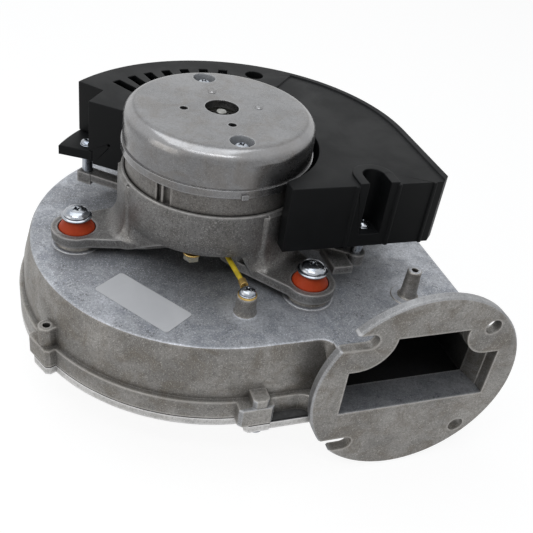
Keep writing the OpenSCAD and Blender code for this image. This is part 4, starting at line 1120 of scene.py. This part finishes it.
@dataclass
class Fasteners:
    """All screws whose heads show."""

    mount_r: float = 66.3
    mount_turns: tuple[float, ...] = (180.0, -60.0, 60.0)
    mount_seat: float = 58.4
    lug_spots: tuple[tuple[float, float], ...] = (
        (-84.8, -41.3), (0.6, -95.8), (-70.2, 66.0), (31.7, 98.9), (115.7, 7.6), (116.6, -52.0))
    fix_spots: tuple[tuple[float, float], ...] = ((-55.5, 45.5), (38.9, 69.7), (61.7, -43.4))

    def sets(self) -> list[ScrewSet]:
        """The kinds of screw with their seats.

        Returns:
            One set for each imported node.
        """
        mounts = [(self.mount_r * math.cos(math.radians(t)), self.mount_r * math.sin(math.radians(t)), self.mount_seat)
                  for t in self.mount_turns]
        return [
            ScrewSet("mount_screws", mounts, 7.2, 4.0, 2.5, 20.8, 0.86, turns=(12, 30, 55), recess_share=0.62),
            ScrewSet("earth_screw", [(0, -65, 54.5)], 4.0, 3.0, 2.0, 10.0, 0.94, turns=(20,)),
            ScrewSet("cap_screws", [(0, 33.4, 109.1), (0, -33.4, 109.1)], 4.0, 2.8, 2.0, 49.6, 0.94, turns=(35, 10)),
            ScrewSet("cover_screws", [(x, y, 72.0) for x, y in self.fix_spots], 3.6, 2.6, 1.5, 14.0, 0.94,
                     turns=(5, 40)),
            ScrewSet("housing_screws", [(x, y, 3.5) for x, y in self.lug_spots], 4.0, 3.2, 1.8, 14.0, 0.94,
                     down=True, turns=(0, 25, 50)),
        ]

    def build(self, bench: Bench) -> None:
        """Makes every set of screws."""
        tree = ScrewTree()
        for kind in self.sets():
            kind.build(bench, tree)


@dataclass
class VoluteHousing:
    """Cast volute with its cover, gasket, seal and label."""

    plate_z: float = 42.0
    flange_y: float = -98.5
    flange_axis: tuple[float, float] = (73.3, 23.0)
    rim_r: float = 50.9
    inside_y: float = -103.0
    inside_z: tuple[float, float] = (4.0, 42.5)
    duct_x: tuple[float, float] = (36.0, 106.0)
    duct_y: float = -20.0
    duct_floor_x: float = 30.0
    duct_floor_z: tuple[float, float] = (4.0, 14.0)
    scroll_y: float = -88.0
    roof_z: float = 30.0
    cover_floor_z: float = 7.5
    label_size: Point = (43.4, 17.4, 0.25)
    label_spot: tuple[float, float] = (-43.5, -51.0)
    label_turn: float = -53.2
    label_round: float = 1.7
    label_z: float = 44.0
    label_shrink: float = 0.995

    def build(self, bench: Bench) -> None:
        """Dresses the castings."""
        casting = bench.soften("volute_housing", 0.0, "casting")
        for slot in ("housing_plate", "housing_inside_shaded", "flange_rim_lit"):
            casting.data.materials.append(bench.finishes[slot])
        # Faces inside the volute get the darker copy with painted shade; the flange's rim gets the lighter copy as
        # painted highlight.
        for face in casting.data.polygons:
            face.material_index = self.kind(face.normal, Vector(face.center) / MM).value
        cover = bench.soften("bottom_cover", 0.0, "casting")
        cover.data.materials.append(bench.finishes["cover_floor_shade"])
        # The cover's inner floor gets the near-black painted shade.
        for face in cover.data.polygons:
            if face.normal.z > 0.9 and abs(face.center.z / MM - self.cover_floor_z) < 0.4:
                face.material_index = 1
        bench.soften("housing_gasket", 0.0, "sheet")
        bench.paint("shaft_seal")
        self.label(bench)

    def on_rim(self, normal: Vector, at: Vector) -> bool:
        """Whether a face of the casting is on the rim of the outlet flange.

        Args:
            normal: Normal of the face.
            at: Its centre, in millimetres.

        Returns:
            True for the rim.
        """
        out = math.dist((at.x, at.z), self.flange_axis)
        return at.y < self.flange_y and out > self.rim_r and abs(normal.y) < 0.8

    def faces_inside(self, normal: Vector, at: Vector) -> bool:
        """Whether a face of the casting looks into the volute or its outlet.

        Args:
            normal: Normal of the face.
            at: Its centre, in millimetres.

        Returns:
            True for inner faces.
        """
        low, high = self.inside_z
        if at.y < self.inside_y or at.z > high or at.z < low:
            return False
        left, right = self.duct_x
        duct = left < at.x < right and at.y < self.duct_y
        inward = abs(normal.x) > 0.6 and (at.x - (left + right) / 2) * normal.x < 0
        if duct and (normal.z < -0.6 or inward):
            return True
        roof = normal.z < -0.7 and at.z > self.roof_z
        return at.y > self.scroll_y and (roof or normal.xy.dot(at.xy.normalized()) < -0.3)

    def kind(self, normal: Vector, at: Vector) -> CastFace:
        """Kind of a face of the casting.

        Args:
            normal: Normal of the face.
            at: Its centre, in millimetres.

        Returns:
            The kind.
        """
        if self.on_rim(normal, at):
            return CastFace.RIM
        low, high = self.duct_floor_z
        floor = at.x > self.duct_floor_x and at.y < self.duct_y and low < at.z < high
        plate = at.z > self.plate_z and at.y > self.flange_y
        if normal.z > 0.85 and (plate or floor):
            return CastFace.PLATE
        return CastFace.INSIDE if self.faces_inside(normal, at) else CastFace.OUTSIDE

    def label(self, bench: Bench) -> None:
        """Makes the bare foil label with its rounded corners."""
        long, wide, thick = self.label_size
        turn = Matrix.Rotation(math.radians(self.label_turn), 4, "Z")
        seat = Matrix.Translation(Vector((*self.label_spot, 0.0)) * MM) @ turn
        outline = []
        for sx, sy, start in ((1, 1, 0), (-1, 1, 90), (-1, -1, 180), (1, -1, 270)):
            centre = Vector((sx * (long / 2 - self.label_round), sy * (wide / 2 - self.label_round), 0.0))
            for k in range(7):
                a = math.radians(start + 15 * k)
                outline.append(centre + self.label_round * Vector((math.cos(a), math.sin(a), 0.0)))
        top = self.label_z + thick
        levels = ((self.label_z, 1.0), (self.label_z + 0.7 * thick, 1.0), (top, self.label_shrink))
        rings = [[seat @ ((shrink * p + Vector((0, 0, z))) * MM) for p in outline] for z, shrink in levels]
        mesh = stacked("blank_label_foil", [rings])
        bench.place("blank_label_foil", mesh, HOUSING, "label", ["blank_label"])


@dataclass
class EarBlends:
    """Smooth blends that run from the bracket's ears up into the wall of its cup."""

    turns: tuple[float, ...] = (180.0, -60.0, 60.0)
    ends: tuple[tuple[float, float], ...] = ((32.0, 47.0), (27.0, 30.0), (32.0, 32.0))
    half: float = 50.0
    across: int = 100
    rows: int = 32
    ear_z: float = 52.5
    foot_z: float = 47.75
    cup_z: float = 59.7
    top_z: float = 79.8
    face_r: float = 46.75
    cup_r: float = 45.78
    sweep: tuple[float, float] = (6.5, 10.0)
    arm: tuple[float, float] = (12.5, 31.0)
    web: float = 18.0
    fillet: float = 11.0
    hidden_r: float = 42.4
    hidden_step: float = 2.3
    hidden_z: tuple[float, float] = (60.0, 63.0)
    waist: float = 0.8
    waist_z: tuple[float, float] = (62.0, 64.0)
    tuck: float = 2.2
    tuck_turn: tuple[float, float] = (20.0, 27.0)
    tuck_z: tuple[float, float] = (59.5, 62.5)
    proud: float = 0.2
    fade: float = 1.5
    rim_drop: float = 0.6
    rim_z: tuple[float, float] = (78.0, 79.8)
    face_turn: tuple[float, float] = (13.2, 17.0)

    @staticmethod
    def ramp(value: float, low: float, high: float) -> float:
        """Straight ramp from 0 at low to 1 at high."""
        return min(1.0, max(0.0, (value - low) / (high - low)))

    @classmethod
    def step(cls, value: float, low: float, high: float) -> float:
        """Smooth step from 0 at low to 1 at high."""
        t = cls.ramp(value, low, high)
        return t * t * (3 - 2 * t)

    @classmethod
    def hollow(cls, share: float) -> float:
        """Quarter of a hollow curve, from 1 at 0 to 0 at 1."""
        return 1.0 - math.sqrt(max(0.0, 1.0 - (1.0 - cls.ramp(share, 0.0, 1.0)) ** 2))

    def inside(self, z: float) -> float:
        """Radius that lies hidden within the cup at a height."""
        return self.hidden_r + self.hidden_step * self.ramp(z, *self.hidden_z)

    def radius(self, angle: float, z: float, end: float) -> float:
        """Radius of the blend.

        Args:
            angle: Angle from the middle of the ear, in degrees.
            z: Height in millimetres.
            end: Angle at which the blend ends.

        Returns:
            The radius in millimetres.
        """
        wide, high = self.sweep
        low, out = self.arm
        away = abs(angle)
        beside = min(wide, self.fillet * self.hollow((away - low) / (min(end, out) - low)))
        foot = beside * self.hollow((z - self.ear_z) / high)
        skirt = self.cup_r - self.waist * self.step(z, *self.waist_z)
        skirt -= self.tuck * self.step(away, *self.tuck_turn) * (1.0 - self.step(z, *self.tuck_z))
        skirt += (self.inside(z) + self.proud - skirt) * self.step(away, end - self.fade, end + self.fade)
        face = self.face_r - self.rim_drop * self.ramp(z, *self.rim_z)
        return skirt + (face - skirt) * (1.0 - self.step(away, *self.face_turn)) + foot

    def foot(self, angle: float, end: float) -> float:
        """Height of the blend's lower edge at an angle."""
        share = self.ramp(abs(angle), self.web, end)
        return self.foot_z + (self.cup_z - self.foot_z) * (0.6 * share + 0.4 * self.step(share, 0.0, 1.0))

    def mesh(self) -> Mesh:
        """Closed mesh of all three blends.

        Returns:
            The mesh.
        """
        work = bmesh.new()
        for turn, ends in zip(self.turns, self.ends):
            outer, inner = [], []
            for i in range(self.across + 1):
                angle = self.half * (2.0 * i / self.across - 1.0)
                way = Vector((math.cos(math.radians(turn + angle)), math.sin(math.radians(turn + angle)), 0.0))
                end = ends[0 if angle < 0 else 1]
                low = self.foot(angle, end)
                heights = [low + (self.top_z - low) * (k / self.rows) ** 1.4 for k in range(self.rows + 1)]
                up = [Vector((0, 0, z)) for z in heights]
                outer.append([work.verts.new((self.radius(angle, p.z, end) * way + p) * MM) for p in up])
                inner.append([work.verts.new(((self.inside(p.z) - 0.4) * way + p) * MM) for p in up])
            for sheet in (outer, inner):
                for low, high in zip(sheet, sheet[1:]):
                    for k in range(self.rows):
                        work.faces.new((low[k], high[k], high[k + 1], low[k + 1]))
            for k in (0, self.rows):
                for i in range(self.across):
                    work.faces.new((outer[i][k], outer[i + 1][k], inner[i + 1][k], inner[i][k]))
            for i in (0, self.across):
                for k in range(self.rows):
                    work.faces.new((outer[i][k], outer[i][k + 1], inner[i][k + 1], inner[i][k]))
        bmesh.ops.recalc_face_normals(work, faces=work.faces)
        mesh = bpy.data.meshes.new("ear_blends")
        work.to_mesh(mesh)
        work.free()
        return mesh


@dataclass
class StatorCoils:
    """Six coils of round wire, each wound in layers round its tooth."""

    teeth: int = 6
    layers: int = 5
    turns: int = 7
    wire_r: float = 0.42
    radial: tuple[float, float] = (25.45, 30.95)
    tooth: tuple[float, float] = (5.95, 11.42)
    pitch: tuple[float, float] = (0.85, 0.63)
    middle_z: float = 81.0
    corner_steps: int = 4

    def loop(self, layer: int) -> list[tuple[float, float]]:
        """One turn of a layer: a rectangle with rounded corners.

        Args:
            layer: Layer, from the tooth outwards.

        Returns:
            Places across the tooth and along the shaft.
        """
        wide, high = (self.tooth[i] + layer * self.pitch[i] for i in (0, 1))
        bend = 0.9 + 0.75 * layer
        made = []
        for sx, sz, start in ((1, 1, 0), (-1, 1, 90), (-1, -1, 180), (1, -1, 270)):
            for k in range(self.corner_steps + 1):
                a = math.radians(start + 90.0 * k / self.corner_steps)
                made.append((sx * (wide - bend) + bend * math.cos(a), sz * (high - bend) + bend * math.sin(a)))
        return made

    def paths(self) -> list[list[Vector]]:
        """The wire of every coil.

        Returns:
            Points in millimetres, one list for each coil.
        """
        low, high = self.radial
        made = []
        for i in range(self.teeth):
            turn = Matrix.Rotation(math.tau * i / self.teeth, 3, "Z")
            wire = []
            for layer in range(self.layers):
                loop = self.loop(layer)
                for j in range(self.turns * len(loop)):
                    share = j / (self.turns * len(loop))
                    out = low + (high - low) * (share if layer % 2 == 0 else 1.0 - share)
                    across, up = loop[j % len(loop)]
                    wire.append(turn @ Vector((out, across, self.middle_z + up)))
            made.append(wire)
        return made

    def build(self, bench: Bench) -> None:
        """Winds the coils."""
        mesh = WireTree().sweep(self.paths(), self.wire_r, 6, bench.finishes["copper"])
        bench.place("stator_windings_wound", mesh, bench.bodies["stator_windings"], "copper", ["stator_windings"])


@dataclass
class Motor:
    """Bracket, shell, stator, cap and bearings."""

    pip_spots: tuple[tuple[float, float], ...] = ((18.0, 0.0), (0.0, 18.0))
    pip_profile: tuple[tuple[float, float], ...] = (
        (2.6, 112.9), (2.1, 113.5), (1.9, 113.85), (1.5, 114.0), (0.9, 113.9), (0.5, 113.8))
    pip_sides: int = 28
    pocket_spot: tuple[float, float] = (0.0, 33.4)
    pocket_r: float = 5.7
    pocket_z: tuple[float, float] = (108.6, 113.15)

    def pips(self) -> Mesh:
        """Cast pips on the top of the cap.

        Returns:
            Their closed mesh.
        """
        angles = [math.tau * k / self.pip_sides for k in range(self.pip_sides)]
        return stacked("cap_pips", [
            [[Vector((x + r * math.cos(a), y + r * math.sin(a), z)) * MM for a in angles] for r, z in self.pip_profile]
            for x, y in self.pip_spots])

    def build(self, bench: Bench) -> None:
        """Dresses the castings and the inner parts."""
        bench.soften("motor_bracket", 0.0, "casting", extra=EarBlends().mesh())
        bench.soften("motor_shell", 0.3, "casting")
        cap = bench.soften("motor_cap", 0.0, "casting", extra=self.pips())
        cap.data.materials.append(bench.finishes["cap_pocket_lit"])
        # The screw pockets get the lighter copy of the cap casting: painted light.
        for face in cap.data.polygons:
            x, y, z = (c / MM for c in face.center)
            if self.pocket_z[0] < z < self.pocket_z[1] and math.dist((x, abs(y)), self.pocket_spot) < self.pocket_r:
                face.material_index = 1
        StatorCoils().build(bench)
        bench.paint("stator_core", "bracket_screws", "upper_bearing_outer_race",
                    "lower_bearing_outer_race", "preload_washer", "motor_shaft", "rotor_core", "rotor_magnets",
                    "upper_bearing_inner_race", "lower_bearing_inner_race", "upper_ball_cage", "lower_ball_cage")


@dataclass
class RubberMounting:
    """Silicone mounts with their sleeves."""

    def build(self, bench: Bench) -> None:
        """Dresses the mounts."""
        bench.soften("rubber_mounts", 0.5, "moulding", steps=3)
        bench.paint("mount_sleeves")


@dataclass
class ControlBox:
    """Black control box with its board and the wound choke on it."""

    choke_at: Point = (70.0, 24.0, 83.6)
    choke_r: float = 8.0
    core_r: float = 3.85
    turn_r: float = 4.4
    turns: int = 22
    wire_r: float = 0.5

    def build(self, bench: Bench) -> None:
        """Dresses the mouldings and the board."""
        bench.soften("control_cover", 0.35, "moulding")
        bench.soften("control_base", 0.35, "moulding")
        bench.paint("circuit_board", "board_capacitors", "board_chips", "board_connector", "cover_standoffs")
        self.choke(bench)

    def choke(self, bench: Bench) -> None:
        """Winds the choke on its ring core."""
        tree, centre, body = WireTree(), Vector(self.choke_at), bench.bodies["board_inductor"]
        ring = [centre + self.choke_r * Vector((math.cos(a), math.sin(a), 0.0))
                for a in (math.tau * k / 48 for k in range(48))]
        core = tree.sweep([ring], self.core_r, 20, bench.finishes["magnet"], True)
        bench.place("board_inductor_core", core, body, "magnet")
        steps = 14 * self.turns
        wire = []
        for k in range(steps + 1):
            way, roll = math.radians(10.0 + 340.0 * k / steps), math.tau * self.turns * k / steps
            out = self.choke_r + self.turn_r * math.cos(roll)
            wire.append(centre + Vector((out * math.cos(way), out * math.sin(way), self.turn_r * math.sin(roll))))
        turns = tree.sweep([wire], self.wire_r, 8, bench.finishes["copper"])
        bench.place("board_inductor_turns", turns, body, bench.slots["board_inductor"], ["board_inductor"])


@dataclass
class EarthLead:
    """Striped earth lead between two crimped ring terminals."""

    diameter: float = 2.4
    route: tuple[Point, ...] = (
        (0, -58, 54.9), (-0.4, -54.5, 55.2), (-1, -50, 55.6), (-1.5, -46, 56), (-2, -42, 56.3), (-2.6, -38.2, 56.7),
        (-4.2, -34.7, 57), (-6.8, -32.4, 57.2), (-9.6, -31.8, 57.3), (-12.2, -32.9, 57.3))
    sides: int = 20
    fine: int = 6

    def path(self) -> list[Vector]:
        """Smooth route through the points.

        Returns:
            Points in metres.
        """
        knots = [Vector(p) * MM for p in self.route]
        ends = [2 * knots[0] - knots[1], *knots, 2 * knots[-1] - knots[-2]]
        made = []
        for a, b, c, d in zip(ends, ends[1:], ends[2:], ends[3:]):
            for k in range(self.fine):
                t = k / self.fine
                made.append(0.5 * (2 * b + (c - a) * t + (2 * a - 5 * b + 4 * c - d) * t * t
                                   + (3 * b - 3 * c + d - a) * t ** 3))
        return [*made, knots[-1]]

    def build(self, bench: Bench) -> None:
        """Sweeps the wire and dresses its terminals."""
        path = self.path()
        work = bmesh.new()
        uv = work.loops.layers.uv.new("wire")
        rings = []
        for i, p in enumerate(path):
            along = (path[min(i + 1, len(path) - 1)] - path[max(i - 1, 0)]).normalized()
            side = along.cross(Vector((0, 0, 1))).normalized()
            up = side.cross(along)
            r = self.diameter / 2 * MM
            rings.append([work.verts.new(p + r * (math.cos(a) * side + math.sin(a) * up))
                          for a in (math.tau * k / self.sides for k in range(self.sides))])
        for i, (low, high) in enumerate(zip(rings, rings[1:])):
            for k in range(self.sides):
                n = (k + 1) % self.sides
                face = work.faces.new((low[k], high[k], high[n], low[n]))
                for loop, (u, v) in zip(face.loops, ((i, k), (i + 1, k), (i + 1, k + 1), (i, k + 1))):
                    loop[uv].uv = (u / len(path), v / self.sides)
        work.faces.new(rings[0])
        work.faces.new(list(reversed(rings[-1])))
        bmesh.ops.recalc_face_normals(work, faces=work.faces)
        mesh = bpy.data.meshes.new("earth_wire_lead")
        work.to_mesh(mesh)
        work.free()
        mesh.shade_smooth()
        lead = bench.place("earth_wire_lead", mesh, HOUSING, "wire", ["earth_wire"])
        bench.soften("earth_terminals", 0.1, "crimped")


@dataclass
class Wheel:
    """Bladed wheel on the motor shaft."""

    def build(self, bench: Bench) -> None:
        """Dresses the wheel's sheet metal."""
        bench.paint("wheel_hub", "wheel_backplate", "wheel_blades", "wheel_shroud", "wheel_rivets", "wheel_nut")


@dataclass
class Studio:
    """Camera, lights, floor and surroundings."""

    eye: Point = (-0.099170, -0.311332, 0.261183)
    right: Point = (0.94352668, -0.30467576, 0.13011564)
    down: Point = (-0.08044259, -0.5916834, -0.80214696)
    ahead: Point = (0.321382, 0.74638022, -0.58277798)
    lens: float = 51.32
    floor_z: float = -0.0292
    floor_reach: float = 6.0
    floor_glow: float = 0.9
    sky: Colour = (0.93, 0.96, 1.0)
    sky_level: float = 0.13
    aim: Point = (0.02, 0.0, 0.05)
    lamps: list[tuple[str, Point, tuple[float, float], float, Colour]] = field(default_factory=lambda: [
        ("top", (-0.15, 0.1, 1.0), (0.9, 0.9), 3.8, (0.94, 0.97, 1.0)),
        ("front", (-0.26, -0.52, 0.93), (0.8, 0.14), 1.7, (0.97, 0.98, 1.0)),
        ("left", (-0.95, -0.2, 0.3), (0.6, 0.6), 1.2, (1.0, 0.95, 0.88)),
        ("back", (0.3, 0.9, 0.75), (0.8, 0.8), 0.75, (0.93, 0.97, 1.0)),
    ])

    def camera(self) -> None:
        """Places the camera at the photograph's view."""
        data = bpy.data.cameras.new("camera")
        data.lens = self.lens
        data.sensor_width = 36.0
        data.sensor_fit = "HORIZONTAL"
        data.clip_start, data.clip_end = 0.01, 20.0
        cam = bpy.data.objects.new("camera", data)
        bpy.context.scene.collection.objects.link(cam)
        axes = Matrix((self.right, tuple(-c for c in self.down), tuple(-c for c in self.ahead))).transposed()
        cam.matrix_world = Matrix.Translation(self.eye) @ axes.to_4x4()
        bpy.context.scene.camera = cam

    def lights(self) -> None:
        """Hangs the soft lamps."""
        for name, place, size, power, colour in self.lamps:
            data = bpy.data.lights.new(name, "AREA")
            data.shape = "RECTANGLE"
            data.size, data.size_y = size
            data.energy = power
            data.color = colour
            lamp = bpy.data.objects.new(name, data)
            bpy.context.scene.collection.objects.link(lamp)
            lamp.location = place
            lamp.rotation_mode = "QUATERNION"
            lamp.rotation_quaternion = (Vector(self.aim) - Vector(place)).to_track_quat("-Z", "Y")

    @staticmethod
    def seen(nodes: Nodes) -> Socket:
        """1 for rays that show a surface: from the camera, a gloss or glass.

        Args:
            nodes: Tree that gets the nodes.

        Returns:
            The share.
        """
        path = nodes.add("ShaderNodeLightPath")
        total = path.outputs["Is Camera Ray"]
        for name in ("Is Glossy Ray", "Is Transmission Ray"):
            total = nodes.math("MAXIMUM", total, path.outputs[name])
        return total

    def surroundings(self) -> None:
        """White surroundings that light the object at a plain level."""
        world = bpy.data.worlds.new("surroundings")
        bpy.context.scene.world = world
        world.use_nodes = True
        nodes = Nodes(world.node_tree)
        nodes.tree.nodes.clear()
        out = nodes.add("ShaderNodeOutputWorld")
        plain = nodes.step("ShaderNodeBackground", Color=self.sky, Strength=self.sky_level)
        white = nodes.step("ShaderNodeBackground", Color=(1.0, 1.0, 1.0), Strength=1.0)
        nodes.link(nodes.wired("ShaderNodeMixShader", self.seen(nodes), plain, white), out.inputs["Surface"])

    def floor(self) -> None:
        """Lays the pale floor."""
        mesh = bpy.data.meshes.new("floor")
        corners = [(x * self.floor_reach, y * self.floor_reach, self.floor_z)
                   for x, y in ((-1, -1), (1, -1), (1, 1), (-1, 1))]
        mesh.from_pydata(corners, [], [(0, 1, 2, 3)])
        sheet = bpy.data.objects.new("floor", mesh)
        bpy.context.scene.collection.objects.link(sheet)
        material = bpy.data.materials.new("floor")
        material.use_nodes = True
        nodes = Nodes(material.node_tree)
        nodes.tree.nodes.clear()
        out = nodes.add("ShaderNodeOutputMaterial")
        matt = nodes.step("ShaderNodeBsdfDiffuse", Color=(0.75, 0.75, 0.75))
        pale = nodes.step("ShaderNodeBsdfDiffuse", Color=(0.2, 0.2, 0.2))
        glow = nodes.step("ShaderNodeEmission", Strength=self.floor_glow)
        both = nodes.wired("ShaderNodeAddShader", pale, glow)
        nodes.link(nodes.wired("ShaderNodeMixShader", self.seen(nodes), matt, both), out.inputs["Surface"])
        mesh.materials.append(material)

    def build(self) -> None:
        """Sets up the whole studio."""
        bpy.context.scene.view_settings.view_transform = "Standard"
        self.camera()
        self.lights()
        self.surroundings()
        self.floor()


def main() -> None:
    """Builds the studio and dresses every sub-assembly."""
    logging.basicConfig(level=logging.INFO, format="%(name)s: %(message)s")
    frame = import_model()
    Studio().build()
    bench = Bench(frame)
    for part in (EarthLead(), VoluteHousing(), Motor(), RubberMounting(), ControlBox(), Wheel(), Fasteners()):
        part.build(bench)


if __name__ == "__main__":
    main()
